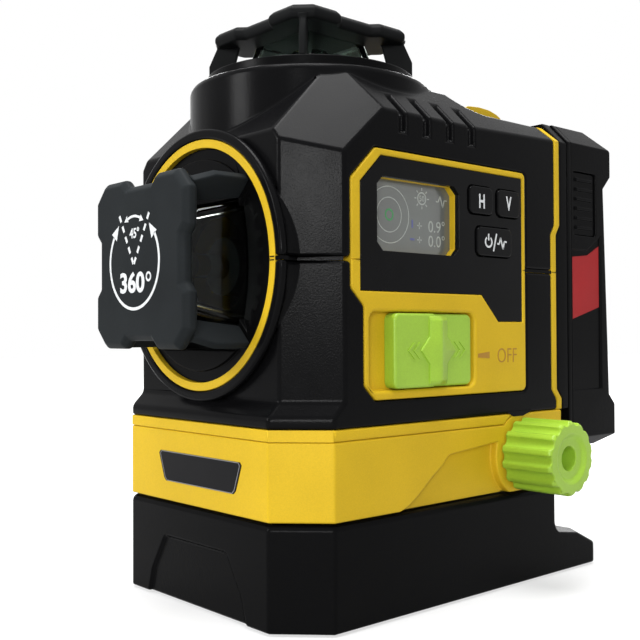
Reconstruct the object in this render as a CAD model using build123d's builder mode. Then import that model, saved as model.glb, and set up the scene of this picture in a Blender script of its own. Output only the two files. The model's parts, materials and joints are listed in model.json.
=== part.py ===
"""Laser level with two 360 degree planes, on a swivel base, with a clip-on battery pack.

Millimetres, +Z up. The origin is the mouth of the tripod thread: the swivel axis at the height of the feet.
The control panel faces -Y, the vertical-plane window faces -X and the battery pack sits at +X.
"""
import os
from math import atan, cos, pi, radians, sin, sqrt, tan

from build123d import *

os.makedirs("parts", exist_ok=True)

# Fits and clearances
slip = 0.05              # shaft that turns in a hole, on the radius
fit = 0.03               # round piece seated in a hole, on the radius
line = 0.1               # parting line between two mouldings
play = 0.3               # round a key, slider or pack in its opening

# Swivel base
depth = 82.0             # base and body, front to back
base_length = 96.6       # base block along X, without the tail
corner_cut = 11.0        # 45 degree cut of the two window-side corners
foot_rise = 0.5          # the feet hold the base wall this far off the floor
base_height = 25.5
base_wall = 2.6
base_bevel = 1.0
tail_reach = 22.0        # foot that runs out under the pack
tail_height = 12.2       # at the base block
tail_fall = 3.2          # its top falls this much to the end
tail_corner = 2.6
toe_length = 7.7         # slanting facets at the tail's upper corners: along X, across and down
toe_side = 10.5
toe_drop = 3.6
tail_round = 4.0
arch_depth = 0.9         # shallow arch in the window-side face
arch_height = 16.5
arch_top = 27.0
arch_foot = 43.0
arch_knee = 7.0          # height where the arch's sides turn in
arch_lean = 2.0
cover_rise = 1.0         # base cover's underside above the floor
cover_thickness = 2.0
pad_radius = 5.0         # rubber feet
pad_seat = 0.6
screw_radius = 1.5
screw_head = 2.8
screw_head_height = 1.4
screw_boss = 4.0
base_screw_length = 9.0
base_screw_end = 13.0    # base screws in from the ends and from the sides
base_screw_side = 10.0
pad_end = 9.0            # feet in from the ends and from the sides
pad_side = 18.0

# Tripod thread and swivel spindle
thread_radius = 2.55     # 1/4-20 thread, wall at the minor diameter
thread_depth = 10.0
insert_radius = 6.5
insert_flange = 10.0
insert_flange_height = 1.6
spindle_boss = 12.0
spindle_radius = 6.0
spindle_head = 8.4
spindle_head_height = 3.5
spindle_head_drop = 8.5  # head's upper face below the base top
spindle_neck = 4.5
washer_radius = 9.0
washer_height = 0.9
nut_flats = 13.0
nut_height = 3.2
glide_outer = 34.0
glide_inner = 30.0
glide_groove = 0.8

# Yellow band with the fine-turn worm drive
turn_gap = 0.4           # between base and band
band_height = 18.5
band_wall = 2.4
band_floor = 2.4
panel_wall = 5.0         # band wall on the panel side, thick enough for the scoop
band_overhang = 3.3      # band past the base block on the pack side
band_screw_end = 11.0    # band screws in from the window-side end and from the sides
band_screw_side = 11.0
scoop_depth = 2.2
scoop_reach = 48.7       # scoop's far end and its knee, from the knob's axis
scoop_run = 31.8
scoop_rise = 2.2
wheel_teeth = 54
worm_module = 1.0
worm_pitch_radius = 6.0
worm_backlash = 0.22     # taken off each side of the thread and of the teeth together
wheel_face = 6.0
wheel_hub = 10.0
pressure_angle = 20.0
worm_turns = 3
knob_level = 10.1        # worm axis above the band's underside
knob_radius = 10.0
knob_length = 15.4
knob_gap = 0.6
knob_flutes = 14
flute_radius = 1.6
knob_boss = 11.6
knob_dish = 6.6
dish_depth = 1.0
knob_hole = 3.2
knob_web = 1.5           # between the shaft's end and the hole in the knob's face
knob_bevel = 0.7
flute_stand = 0.6        # flute centres outside the knob's edge
shaft_radius = 3.0
bush_radius = 5.0
bush_length = 4.0
bush_offset = 13.0       # bush centres either side of the wheel's axis
post_half = 6.2

# Body: armour over shell
armour_wall = 2.7
shell_wall = 2.1
strip_height = 2.9
flange_height = 2.7
wall_setback = 3.4       # window-side wall behind the base's face
lower_height = 39.5      # strip to seam
upper_height = 36.9      # seam to eaves
seam_gap = 1.0           # armour halves stand apart at the seam
shell_boss = 16.0        # screw bosses run this far either side of the seam
band_boss = 3.0
shell_screw_end = 17.3   # shell screws in from the window-side end and from the sides
shell_screw_side = 8.5
board_boss = 1.4
key_board_margin = 4.0
wire_hole = 8.0
low_rise = 6.1           # low deck above the eaves
high_rise = 11.3         # high deck above the eaves
step_start = 14.2        # high deck ends
step_end = 26.7          # low deck starts
ramp_drop = 6.2          # ramp's foot on the window-side wall, below the eaves
facet_drop = 11.8        # corner facet's foot on the panel wall, below the eaves
facet_turn = 53.1        # facet's heading from -X towards the panel
facet_lean = 33.7        # facet's tilt above level
vent_count = 4
vent_pitch = 8.7
vent_width = 2.3
vent_depth = 1.8
vent_drop = 4.9
vent_run = 5.6
vent_start = -14.1
hump_start = 1.0         # yellow hump across the low deck, past its start
hump_length = 16.0
hump_half = 26.0
hump_rise = 4.2

# Windows
tower_offset = 39.6      # top window's axis from the base's window-side face
tower_radius = 33.5
tower_bevel = 1.2
tower_rise = 1.8         # tower top above the high deck
tower_shell_drop = 4.0   # inner shell stops below the tower's top, under the cover's flange
boss_radius = 34.5       # side window boss
boss_inset = 0.7         # its face behind the base's face
boss_rim = 2.2
boss_neck = 33.2         # boss behind its rim, back to the corner cut
neck_depth = 12.0
ring_inset = 0.3         # yellow ring behind the boss's face
cap_side = 42.0
cap_cut = 4.5
cap_notch = 2.0
cap_notch_half = 7.5
cap_thickness = 3.8
cap_bevel = 1.4
cap_under = 0.9          # bevel of the cap's underside
cap_gap = 13.1           # cap's back above the boss face or the tower top
leg_thickness = 1.8
leg_outer = 28.6         # the four legs at their feet, then under the cap, from the window's axis
leg_inner = 22.6
leg_outer_top = 26.4
leg_inner_top = 20.0
leg_shoulder = 5.0       # the outer edge leans in over this height below the cap
leg_web = 3.6            # cover under the legs, between the pockets
glass_head = 11.25       # half width of the four leaning panes under the cap
glass_lean = 14.7
glass_corner = 1.5
glass_wall = 2.0
pocket_rim = 26.8
pocket_drop = 3.0        # pockets fall this much to the panes
seat_depth = 1.0
nose_depth = 8.0         # side laser's nose behind the boss face
cover_floor = 2.4
side_web = 1.5           # side cover's web below the boss face
side_plateau = 0.4
plateau_chord = 21.4     # plateaus start this far above and below the axis
top_ring = 28.9
top_ring_rise = 3.0

# Control panel
frame_left = 2.1         # frame's edge in from the corner cut, and short of the dock's line
frame_right = 12.4
frame_up = 27.1          # frame's top above the seam
frame_down = 33.4        # frame's bottom below the seam
frame_cut = 8.0
frame_jog = 4.2
jog_down = 6.7
frame_low_cut = 3.7
frame_round = 1.6
window_left = 3.0        # window's edges in from the frame's
window_right = 1.4
window_up = 25.5
window_down = 7.3
window_cut = 7.0
lobe_width = 10.6
lobe_down = 14.4
window_sheet = 1.5
window_sink = 0.2
display_left = 5.7       # display's edge in from the window's, and short of the keys
display_right = 3.5
display_up = 20.5
display_down = -2.5
display_cut = 2.0
display_sink = 3.5
display_border = 2.0
display_thickness = 1.6
key_size = (10.0, 7.6)
power_size = (15.0, 8.0)
key_inset = 6.4          # right key's centre in from the window's edge
key_pitch = 11.7
power_offset = 6.2
key_rise = 17.8          # key centres above the seam
power_rise = 7.0
key_round = 1.8
key_proud = 0.4
key_flange = 0.8
key_travel = 0.8
key_stem = 2.2
board_thickness = 1.6
dome_height = 0.8
slot_left = 6.0          # slot's left end in from the frame's
slot_up = -12.2          # slot's top and bottom against the seam
slot_down = -31.2
slot_sink = 2.5
slider_rest = 1.0        # slider stands this much off the slot's right end
slider_length = 32.2
slider_travel = 4.8
slider_ridge = 2.8       # ridge stands this far out of the panel
slider_round = 2.0
grip_bend = 3.2          # ridge's edge bends this far at half height
slider_step = 1.4
slider_bevel = 0.8
slider_mark = 2.2
mark_height = 0.4
slider_tail = 4.0
slider_stem = 8.0

# Pendulum
pivot_drop = 8.7         # gimbal centre below the eaves
gimbal_inner = 15.0
gimbal_outer = 20.0
gimbal_height = 8.0
pin_radius = 2.0
bearing_radius = 4.5
bracket_reach = 27.0     # uprights either side of the axis
bracket_thickness = 3.0
bracket_width = 13.0
bracket_foot = 2.5
bracket_head = 4.0       # upright's top above the bearing
hub_radius = 10.5
tube_radius = 7.5
pendulum_block = 22.0
weight_radius = 17.0
weight_drop = 59.0       # underside of the weight below the pivot
weight_height = 9.0
weight_dish = 2.5        # underside rises to the edge, so that it clears the pad at full tilt
cone_foot = 3.2
cone_rim = 4.4
cone_length = 17.0
pad_stem = 4.0
pad_travel = 2.0
pad_gap = 0.4
pad_disc = 2.0
pad_disc_radius = 7.0
pad_collar = 2.0
magnet_radius = 3.5
magnet_offset = 13.0
tube_drop = 6.0          # top laser tube ends below the tower's top
tube_below = 18.0
glass_density = 2.5      # grams per cubic centimetre, for balancing the pendulum
tube_density = 2.7

# Battery dock and pack
line_width = 2.5         # yellow line round the dock
line_upper = 0.8         # armour's end past the base block: above the upper jog, between the jogs and below
line_middle = -1.0
line_lower = 1.3
jog_upper = 12.2         # upper jog's middle above the seam
jog_lower = 35.0         # lower jog's middle below the seam
jog_half = 1.4
dock_plate = 3.1         # dock's face past the line
spigot_length = 5.0
spigot_wall = 4.0
socket_half = 31.0
socket_depth = 2.0
socket_margin = 9.0
board_inset = 3.0        # main board's edges in from the socket's
post_inset = 7.0         # board posts in from the socket's sides, bottom and top
post_low = 4.0
post_high = 6.0
pack_gap = 0.3
pack_low = 9.0           # pack's underside below the band's top
pack_slab = 18.9         # pack from the dock to its waist
pack_draft = 4.2
rim_upper = 4.0
rim_lower = 5.4
pack_wall = 1.6
pack_corner = 4.0
tongue_wall = 1.4
side_panel_wall = 3.0    # side walls are this much thicker than the rest
rim_slope = 6.0          # lower rim's sloping underside starts this far inside the waist
rim_foot = 4.0           # heights of the two rims' edges from the pack's bottom and top
rim_head = 8.1
rim_top = 12.5
rim_edge = 6.0
rim_roof = 2.5
pack_bevel = 3.0
release_start = 1.2
release_drop = 7.0
release_round = 1.0
release_flange = 1.4
release_sink = 0.6
side_sink = 0.6          # shallow panel in the pack's sides, below the release key
side_panel_start = 0.6
side_panel_length = 15.1
side_panel_low = 17.0
side_panel_high = 35.8   # below the pack's top
side_panel_flat = 7.7    # level part of its upper edge, then the edge climbs
side_panel_climb = 4.8
rib_height = 0.5
contact_reach = 5.0
contact_leaf = 0.6
pack_edge = 5.5
lid_thickness = 1.8
cell_radius = 7.0        # four cells of the 14500 size
cell_length = 50.0
cell_pitch = 14.6
release_length = 11.8
release_height = 19.0
release_ribs = 6
contact_width = 1.2
contact_height = 14.0
contact_pitch = 9.0

# Levels and places worked out from the sizes above
half = depth / 2
left = -base_length / 2
right = base_length / 2
cover_top = cover_rise + cover_thickness
band_bottom = base_height + turn_gap
band_top = band_bottom + band_height
band_right = right + band_overhang
shell_bottom = band_top + line
strip_top = band_top + strip_height
flange_top = strip_top + flange_height
wall_x = left + wall_setback
tower_x = left + tower_offset
seam = strip_top + lower_height
eaves = seam + upper_height
low_deck = eaves + low_rise
high_deck = eaves + high_rise
tower_top = high_deck + tower_rise
shell_skin = armour_wall + shell_wall
inner_half = half - shell_skin
floor_top = shell_bottom + shell_wall
pivot = eaves - pivot_drop
knob_z = band_bottom + knob_level
wheel_pitch_radius = wheel_teeth * worm_module / 2
knob_x = wheel_pitch_radius + worm_pitch_radius
worm_pitch = pi * worm_module
lead_angle = atan(worm_pitch / (2 * pi * worm_pitch_radius))
hub_bottom = band_bottom + band_floor + 2 * line
wheel_bottom = knob_z - wheel_face / 2
wheel_top = knob_z + wheel_face / 2

# Dock line and control panel along X
line_x = [right + line_upper, right + line_middle, right + line_lower]
dock_end = max(line_x) + line_width + dock_plate
spigot_back = right + line_middle + line_width - spigot_length
frame_x0 = wall_x + corner_cut + frame_left
frame_x1 = right + line_middle - frame_right
window_x0 = frame_x0 + window_left
window_x1 = frame_x1 - window_right
key_v = (window_x1 - key_inset, key_rise)
key_h = (key_v[0] - key_pitch, key_rise)
key_power = (key_v[0] - power_offset, power_rise)
display_x0 = window_x0 + display_left
display_x1 = key_h[0] - key_size[0] / 2 - display_right
slot_x0 = frame_x0 + slot_left
slider_left = slot_x0 + play + slider_travel
slider_right = slider_left + slider_length
slot_x1 = slider_right + slider_rest + play


def corners(x0, x1, y):
    """Four places, at two distances along X and the same distance to both sides."""
    return [(x0, -y), (x0, y), (x1, -y), (x1, y)]


# Screws and feet: the band's screws pass beside the worm shaft, the shell's stop short of the dock's spigot
screw_points = corners(left + base_screw_end, right - base_screw_end, half - base_screw_side)
pad_points = corners(left + pad_end, right + tail_reach - pad_end, half - pad_side)
band_screw_stop = knob_x + shaft_radius + play + screw_boss
band_screw_points = corners(left + band_screw_end, band_screw_stop, half - band_screw_side)
shell_screw_points = corners(left + shell_screw_end, spigot_back - play - screw_boss,
                             half - shell_screw_side)

# Working planes: local Z points out of the object
front = Plane.XZ.offset(half)
back = Plane(origin=(0, half, 0), x_dir=(-1, 0, 0), z_dir=(0, 1, 0))
side_window = Plane(origin=(left + boss_inset, 0, seam), x_dir=(0, -1, 0), z_dir=(-1, 0, 0))
top_window = Plane(origin=(tower_x, 0, tower_top), x_dir=(1, 0, 0), z_dir=(0, 0, 1))
worm_axis = Plane(origin=(knob_x, 0, knob_z), x_dir=(-1, 0, 0), z_dir=(0, 1, 0))
gimbal = Plane(origin=(tower_x, 0, pivot), x_dir=(1, 0, 0), z_dir=(0, 0, 1))


def rectangle(x0, y0, x1, y1):
    """Corners of a rectangle, anticlockwise."""
    return [(x0, y0), (x1, y0), (x1, y1), (x0, y1)]


def block(plane, points, start, stop, mode=Mode.ADD, corner=0.0):
    """A prism on a plane, from one height to another, with rounded corners where a radius is given."""
    with BuildSketch(plane.offset(start)) as outline:
        Polygon(*points, align=None)
        if corner > 0:
            fillet(outline.vertices(), corner)
    extrude(outline.sketch, amount=stop - start, dir=plane.z_dir, mode=mode)


def drum(plane, radius, start, stop, mode=Mode.ADD, at=(0, 0)):
    """A round boss or bore square to a plane, from one height to another."""
    with BuildSketch(plane.offset(start)) as outline:
        with Locations(at):
            Circle(radius)
    extrude(outline.sketch, amount=stop - start, dir=plane.z_dir, mode=mode)


def turned(plane, profile, mode=Mode.ADD):
    """A solid turned about a plane's axis; the profile's points are (radius, height)."""
    with BuildSketch(Plane(plane.origin, x_dir=plane.x_dir, z_dir=-plane.y_dir)) as outline:
        Polygon(*profile, align=None)
    revolve(outline.sketch, axis=Axis(plane.origin, plane.z_dir), mode=mode)


def tile(plane, centre, size, corner, start, stop, mode=Mode.ADD):
    """A plate with rounded corners on a plane."""
    with BuildSketch(plane.offset(start)) as outline:
        with Locations(centre):
            RectangleRounded(size[0], size[1], corner)
    extrude(outline.sketch, amount=stop - start, dir=plane.z_dir, mode=mode)


def screw(point, head_bottom, length):
    """A pan head screw that points up, its head's underside at the bottom."""
    drum(Plane.XY, screw_head, head_bottom, head_bottom + screw_head_height, at=point)
    drum(Plane.XY, screw_radius, head_bottom, head_bottom + screw_head_height + length, at=point)


def plan(x0, x1, inset, cut):
    """Plan outline with 45 degree cuts at the two window-side corners."""
    h = half - inset
    c = cut - inset * (2 - sqrt(2))
    x0 = x0 + inset
    return [(x0 + c, -h), (x1, -h), (x1, h), (x0 + c, h), (x0, h - c), (x0, c - h)]


def base_plan(inset):
    """Plan outline of the base with its tail."""
    h = half - inset
    c = corner_cut - inset * (2 - sqrt(2))
    t = tail_corner - inset * (2 - sqrt(2))
    x0 = left + inset
    x1 = right + tail_reach - inset
    return [(x0 + c, -h), (x1 - t, -h), (x1, t - h), (x1, h - t),
            (x1 - t, h), (x0 + c, h), (x0, h - c), (x0, c - h)]


def save(part, name):
    """Label a finished piece and write it."""
    part.label = name
    export_step(part, f"parts/{name}.step")


# Swivel base

def base_form(inset, bottom):
    """The base's outer form drawn in by inset: block, tail and the round between them."""
    tail_end = right + tail_reach - inset
    tail_top = tail_height - inset
    toe_top = tail_top - tail_fall
    with BuildPart() as form:
        with BuildSketch(Plane.XZ) as side:
            Polygon((left + inset, bottom), (tail_end, bottom), (tail_end, toe_top),
                    (right - inset, tail_top), (right - inset, base_height - inset),
                    (left + inset, base_height - inset), align=None)
            fillet(side.vertices().sort_by_distance((right - inset, tail_top))[0], tail_round)
            fillet(side.vertices().sort_by_distance((tail_end, toe_top))[0], (tail_round - inset / 2) / 2)
        extrude(amount=half - inset, both=True)
        block(Plane.XY, base_plan(inset), bottom, base_height, Mode.INTERSECT)
        for s in (1, -1):
            along = Vector(toe_length, -s * toe_side, 0)
            down = Vector(toe_length, 0, -toe_drop)
            normal = (along.cross(down) * s).normalized()
            corner = Vector(right + tail_reach - toe_length, s * half, tail_height - tail_fall)
            with BuildPart(mode=Mode.PRIVATE) as toe:
                block(Plane.XY, rectangle(right, 0, right + tail_reach + 1, s * half), 0, base_height)
                split(bisect_by=Plane(origin=corner - normal * inset, z_dir=normal), keep=Keep.TOP)
            add(toe.part, mode=Mode.SUBTRACT)
    return form.part


spindle_seat = base_height - spindle_head_drop
insert_top = spindle_seat - spindle_head_height - line
with BuildPart() as base_housing:
    add(base_form(0, foot_rise))
    chamfer(base_housing.faces().sort_by(Axis.Z)[-1].edges(), base_bevel)
    add(base_form(base_wall, 0), mode=Mode.SUBTRACT)
    drum(Plane.XY, spindle_boss, insert_top, base_height - base_wall / 2)
    for point in screw_points:
        drum(Plane.XY, screw_boss, cover_top, base_height - base_wall / 2, at=point)
        drum(Plane.XY, screw_radius + fit, cover_top, cover_top + base_screw_length, Mode.SUBTRACT, at=point)
    drum(Plane.XY, spindle_head + line, 0, spindle_seat, Mode.SUBTRACT)
    drum(Plane.XY, spindle_radius + fit, 0, base_height, Mode.SUBTRACT)
    with BuildSketch(Plane.XY.offset(base_height - glide_groove)):
        Circle(glide_outer + line)
        Circle(glide_inner - line, mode=Mode.SUBTRACT)
    extrude(amount=glide_groove, mode=Mode.SUBTRACT)
    with BuildSketch(Plane(origin=(left, 0, 0), x_dir=(0, -1, 0), z_dir=(-1, 0, 0))) as arch:
        Polygon((-arch_foot / 2, 0), (arch_foot / 2, 0), (arch_foot / 2 - arch_lean, arch_knee),
                (arch_top / 2, arch_height), (-arch_top / 2, arch_height),
                (arch_lean - arch_foot / 2, arch_knee), align=None)
        fillet(arch.vertices().group_by(Axis.Y)[1], arch_height / 3)
        fillet(arch.vertices().group_by(Axis.Y)[-1], arch_height / 8)
    extrude(amount=-arch_depth, mode=Mode.SUBTRACT)
save(base_housing.part, "base_housing")

with BuildPart() as base_cover:
    block(Plane.XY, base_plan(base_wall + line), cover_rise, cover_top)
    drum(Plane.XY, insert_radius + fit, cover_rise, cover_top, Mode.SUBTRACT)
    for point in screw_points:
        drum(Plane.XY, screw_radius + line, cover_rise, cover_top, Mode.SUBTRACT, at=point)
        drum(Plane.XY, screw_head + line, cover_rise, cover_rise + screw_head_height,
             Mode.SUBTRACT, at=point)
    for point in pad_points:
        drum(Plane.XY, pad_radius + fit, cover_rise, cover_rise + pad_seat, Mode.SUBTRACT, at=point)
save(base_cover.part, "base_cover")

with BuildPart() as thread_insert:
    drum(Plane.XY, insert_radius, 0, insert_top)
    drum(Plane.XY, insert_flange, cover_top, cover_top + insert_flange_height)
    drum(Plane.XY, thread_radius, 0, thread_depth, Mode.SUBTRACT)
save(thread_insert.part, "thread_insert")

with BuildPart() as foot_pads:
    for point in pad_points:
        drum(Plane.XY, pad_radius, 0, cover_rise + pad_seat, at=point)
save(foot_pads.part, "foot_pads")

with BuildPart() as base_screws:
    for point in screw_points:
        screw(point, cover_rise, base_screw_length)
save(base_screws.part, "base_screws")

neck_z = wheel_top + line
with BuildPart() as swivel_spindle:
    drum(Plane.XY, spindle_head, spindle_seat - spindle_head_height, spindle_seat)
    drum(Plane.XY, spindle_radius, spindle_seat, neck_z)
    drum(Plane.XY, spindle_neck, neck_z, neck_z + line + washer_height + nut_height)
save(swivel_spindle.part, "swivel_spindle")

washer_z = wheel_top + 2 * line
with BuildPart() as spring_washer:
    washer_mid = washer_z + washer_height / 2
    turned(Plane.XY, [(spindle_neck + fit, washer_mid), (washer_radius, washer_z),
                      (washer_radius, washer_mid), (spindle_neck + fit, washer_z + washer_height)])
save(spring_washer.part, "spring_washer")

with BuildPart() as spindle_nut:
    with BuildSketch(Plane.XY.offset(washer_z + washer_height)):
        RegularPolygon(nut_flats / 2, 6, major_radius=False)
        Circle(spindle_neck + fit, mode=Mode.SUBTRACT)
    extrude(amount=nut_height)
save(spindle_nut.part, "spindle_nut")

with BuildPart() as glide_ring:
    with BuildSketch(Plane.XY.offset(base_height - glide_groove)):
        Circle(glide_outer)
        Circle(glide_inner, mode=Mode.SUBTRACT)
    extrude(amount=glide_groove + turn_gap - slip)
save(glide_ring.part, "glide_ring")

# Worm drive
flank = tan(radians(pressure_angle))
wheel_root = wheel_pitch_radius - 1.25 * worm_module
wheel_tip = wheel_pitch_radius + worm_module
tooth_half = worm_pitch / 4 - worm_backlash / 2
tooth_foot = wheel_root - worm_module

with BuildPart() as tooth:
    with BuildSketch(Plane.XY.offset(wheel_bottom)) as tooth_outline:
        with Locations((0, -tan(lead_angle) * wheel_face / 2)):
            Polygon((tooth_foot, -tooth_half - 2 * worm_module * flank),
                    (wheel_tip, worm_module * flank - tooth_half),
                    (wheel_tip, tooth_half - worm_module * flank),
                    (tooth_foot, tooth_half + 2 * worm_module * flank), align=None)
    extrude(amount=wheel_face / cos(lead_angle), dir=(0, sin(lead_angle), cos(lead_angle)))

with BuildPart() as worm_wheel:
    drum(Plane.XY, wheel_root, wheel_bottom, wheel_top)
    drum(Plane.XY, wheel_hub, hub_bottom, wheel_top)
    with PolarLocations(0, wheel_teeth, start_angle=180 / wheel_teeth):
        add(tooth.part)
    drum(Plane.XY, spindle_radius + slip, hub_bottom, wheel_top, Mode.SUBTRACT)
save(worm_wheel.part, "worm_wheel")

thread_half = worm_pitch / 4 - worm_backlash / 2
worm_root = worm_pitch_radius - 1.25 * worm_module
root_sink = 1.5 * worm_module
with BuildPart() as worm_thread:
    with BuildLine() as helix:
        Helix(pitch=worm_pitch, height=worm_turns * worm_pitch, radius=worm_pitch_radius)
    with BuildSketch(Plane(helix.line @ 0, x_dir=(1, 0, 0), z_dir=helix.line % 0)):
        Polygon((-root_sink, -thread_half - root_sink * flank),
                (worm_module, worm_module * flank - thread_half),
                (worm_module, thread_half - worm_module * flank),
                (-root_sink, thread_half + root_sink * flank), align=None)
    sweep(is_frenet=True)

worm_half = (worm_turns + 1.2) * worm_pitch / 2
shaft_inner = bush_offset + bush_length
shaft_outer = half + knob_gap + knob_length / 2
thread_start = Plane(origin=(knob_x, -worm_turns * worm_pitch / 2, knob_z),
                     x_dir=((-1) ** (worm_turns + 1), 0, 0), z_dir=(0, 1, 0))
with BuildPart() as worm_shaft:
    drum(worm_axis, shaft_radius, -shaft_outer, shaft_inner)
    drum(worm_axis, worm_root, -worm_half, worm_half)
    add(worm_thread.part.moved(thread_start.location))
save(worm_shaft.part, "worm_shaft")

with BuildPart() as worm_bushes:
    for middle in (-bush_offset, bush_offset):
        with BuildSketch(worm_axis.offset(middle - bush_length / 2)):
            Circle(bush_radius)
            Circle(shaft_radius + slip, mode=Mode.SUBTRACT)
        extrude(amount=bush_length)
save(worm_bushes.part, "worm_bushes")

knob_face = Plane(origin=(knob_x, -half - knob_gap, knob_z), x_dir=(1, 0, 0), z_dir=(0, -1, 0))
with BuildPart() as fine_knob:
    drum(knob_face, knob_radius, 0, knob_length)
    chamfer(fine_knob.faces().sort_by(Axis.Y)[0].edges(), knob_bevel)
    with BuildSketch(knob_face) as flutes:
        with PolarLocations(knob_radius + flute_stand, knob_flutes):
            Circle(flute_radius)
    extrude(flutes.sketch, amount=knob_length, dir=knob_face.z_dir, mode=Mode.SUBTRACT)
    dish_floor = knob_length - dish_depth
    turned(knob_face, [(0, dish_floor), (knob_dish - dish_depth, dish_floor), (knob_dish, knob_length),
                       (0, knob_length)], Mode.SUBTRACT)
    drum(knob_face, knob_hole, knob_length / 2 + knob_web, knob_length, Mode.SUBTRACT)
    drum(knob_face, shaft_radius + fit, 0, knob_length / 2, Mode.SUBTRACT)
save(fine_knob.part, "fine_knob")

scoop_left = knob_x - scoop_reach
scoop_knee = knob_x - scoop_run
scoop_top = knob_z + scoop_rise
with BuildPart() as lower_housing:
    block(Plane.XY, plan(left, band_right, 0, corner_cut), band_bottom, band_top)
    block(Plane.XY, rectangle(knob_x, -half, band_right, panel_wall - half), band_top, strip_top - line)
    drum(front, knob_boss, -panel_wall, 0, at=(knob_x, knob_z))
    for low, high in ((0, band_bottom), (strip_top - line, eaves)):
        block(front, rectangle(left, low, dock_end, high), -panel_wall, 1, Mode.SUBTRACT)
    with BuildSketch(front) as scoop:
        with BuildLine():
            Spline((scoop_left, band_bottom), (scoop_knee - 4, knob_z - 2), (scoop_knee, scoop_top - 1),
                   tangents=((1, 0.25), (0.6, 1)))
            Polyline((scoop_knee, scoop_top - 1), (scoop_knee + 1.5, scoop_top), (knob_x - 8, scoop_top + 2),
                     (knob_x, scoop_top + 2), (knob_x, band_bottom), (scoop_left, band_bottom))
        make_face()
        with Locations((knob_x, knob_z)):
            Circle(knob_boss, mode=Mode.SUBTRACT)
    extrude(scoop.sketch, amount=scoop_depth, dir=(0, 1, 0), mode=Mode.SUBTRACT)
    block(Plane.XY, [(x, y + (panel_wall - band_wall) * (y < 0)) for x, y in
                     plan(left, band_right - band_wall, band_wall, corner_cut)],
          band_bottom + band_floor, strip_top, Mode.SUBTRACT)
    for middle in (-bush_offset, bush_offset):
        y0 = middle - bush_length / 2
        block(Plane.XY, rectangle(knob_x - post_half, y0, knob_x + post_half, y0 + bush_length),
              band_bottom + band_floor / 2, knob_z + post_half)
        drum(worm_axis, bush_radius + fit, y0, y0 + bush_length, Mode.SUBTRACT)
    for point in band_screw_points:
        drum(Plane.XY, screw_boss, band_bottom + band_floor / 2, band_top, at=point)
        drum(Plane.XY, screw_radius + line, band_bottom, band_top, Mode.SUBTRACT, at=point)
        drum(Plane.XY, screw_head + line, band_bottom, band_bottom + screw_head_height,
             Mode.SUBTRACT, at=point)
    drum(worm_axis, shaft_radius + slip, -half, panel_wall - half, Mode.SUBTRACT)
    drum(Plane.XY, spindle_radius + slip, band_bottom, band_bottom + band_floor, Mode.SUBTRACT)
save(lower_housing.part, "lower_housing")

band_screw_length = band_height + shell_wall + band_boss - 2
with BuildPart() as band_screws:
    for point in band_screw_points:
        screw(point, band_bottom, band_screw_length)
save(band_screws.part, "band_screws")

# Body forms
facet_normal = (-cos(radians(facet_turn)) * cos(radians(facet_lean)),
                -sin(radians(facet_turn)) * cos(radians(facet_lean)), sin(radians(facet_lean)))


def body_form(inset, end, bottom, boss_face, tower_end):
    """The moulded body drawn in by inset: walls, ramp, roof, corner facets, flange, tower and window boss."""
    wall = wall_x + inset
    ramp_foot = eaves - ramp_drop - inset * (sqrt(2) - 1)
    deck = high_deck - inset
    with BuildPart() as form:
        with BuildSketch(Plane.XZ):
            with BuildLine():
                Polyline((step_start, deck), (wall + deck - ramp_foot, deck), (wall, ramp_foot),
                         (wall, bottom), (end, bottom), (end, low_deck - inset),
                         (step_end, low_deck - inset))
                TangentArc((step_end, low_deck - inset), (step_start, deck), tangent=(-1, 0))
            make_face()
        extrude(amount=half - inset, both=True)
        for s in (1, -1):
            cuts = [((0, s * half, eaves), (0, s * sqrt(0.5), sqrt(0.5))),
                    ((wall_x + corner_cut, s * half, 0), (-sqrt(0.5), s * sqrt(0.5), 0)),
                    ((wall_x + corner_cut, s * half, eaves - facet_drop),
                     (facet_normal[0], -s * facet_normal[1], facet_normal[2]))]
            for point, normal in cuts:
                corner = Vector(point) - Vector(normal) * inset
                split(bisect_by=Plane(origin=corner, z_dir=normal), keep=Keep.BOTTOM)
        block(Plane.XY, plan(left, end, inset, corner_cut), bottom, flange_top)
        with BuildSketch(Plane.XY.offset(flange_top)) as flange:
            Polygon(*plan(left, end, inset, corner_cut), align=None)
        with BuildSketch(Plane.XY.offset(flange_top + wall_setback)) as skirt:
            Polygon(*plan(wall_x, end, inset, corner_cut), align=None)
        loft([flange.sketch, skirt.sketch], ruled=True)
        r = tower_radius - inset
        turned(top_window, [(0, -tower_radius), (r, -tower_radius), (r, tower_end - tower_bevel),
                            (r - tower_bevel, tower_end), (0, tower_end)])
        drum(side_window, boss_radius - inset, -boss_radius / 2, boss_face)
    return form.part


def dock_edge(offset, far):
    """The jogged line round the dock, closed off far along X."""
    upper = seam + jog_upper
    lower = seam - jog_lower
    x0, x1, x2 = (x + offset for x in line_x)
    return [(x0, high_deck), (x0, upper + jog_half), (x1, upper - jog_half), (x1, lower + jog_half),
            (x2, lower - jog_half), (x2, 0), (far, 0), (far, high_deck)]


def panel_frame(inset):
    """Outline of the yellow panel frame, drawn in a little where it is inset."""
    x0, x1 = frame_x0 + inset, frame_x1 - inset
    z0, z1 = seam - frame_down + inset, seam + frame_up - inset
    jog = seam - jog_down
    return [(x0 + frame_jog + frame_low_cut, z0), (x1, z0), (x1, z1), (x0 + frame_cut, z1),
            (x0, z1 - frame_cut), (x0, jog), (x0 + frame_jog, jog - frame_jog),
            (x0 + frame_jog, z0 + frame_low_cut)]


def window_outline(inset):
    """Outline of the glossy control window with its lower lobe."""
    x0, x1 = window_x0 + inset, window_x1 - inset
    lobe_left = window_x1 - lobe_width + inset
    z0, z1 = seam - window_down + inset, seam + window_up - inset
    lobe = seam - lobe_down + inset
    return [(x0, z0), (lobe_left - lobe_down + window_down, z0), (lobe_left, lobe), (x1, lobe),
            (x1, z1), (x0 + window_cut, z1), (x0, z1 - window_cut)]


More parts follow.
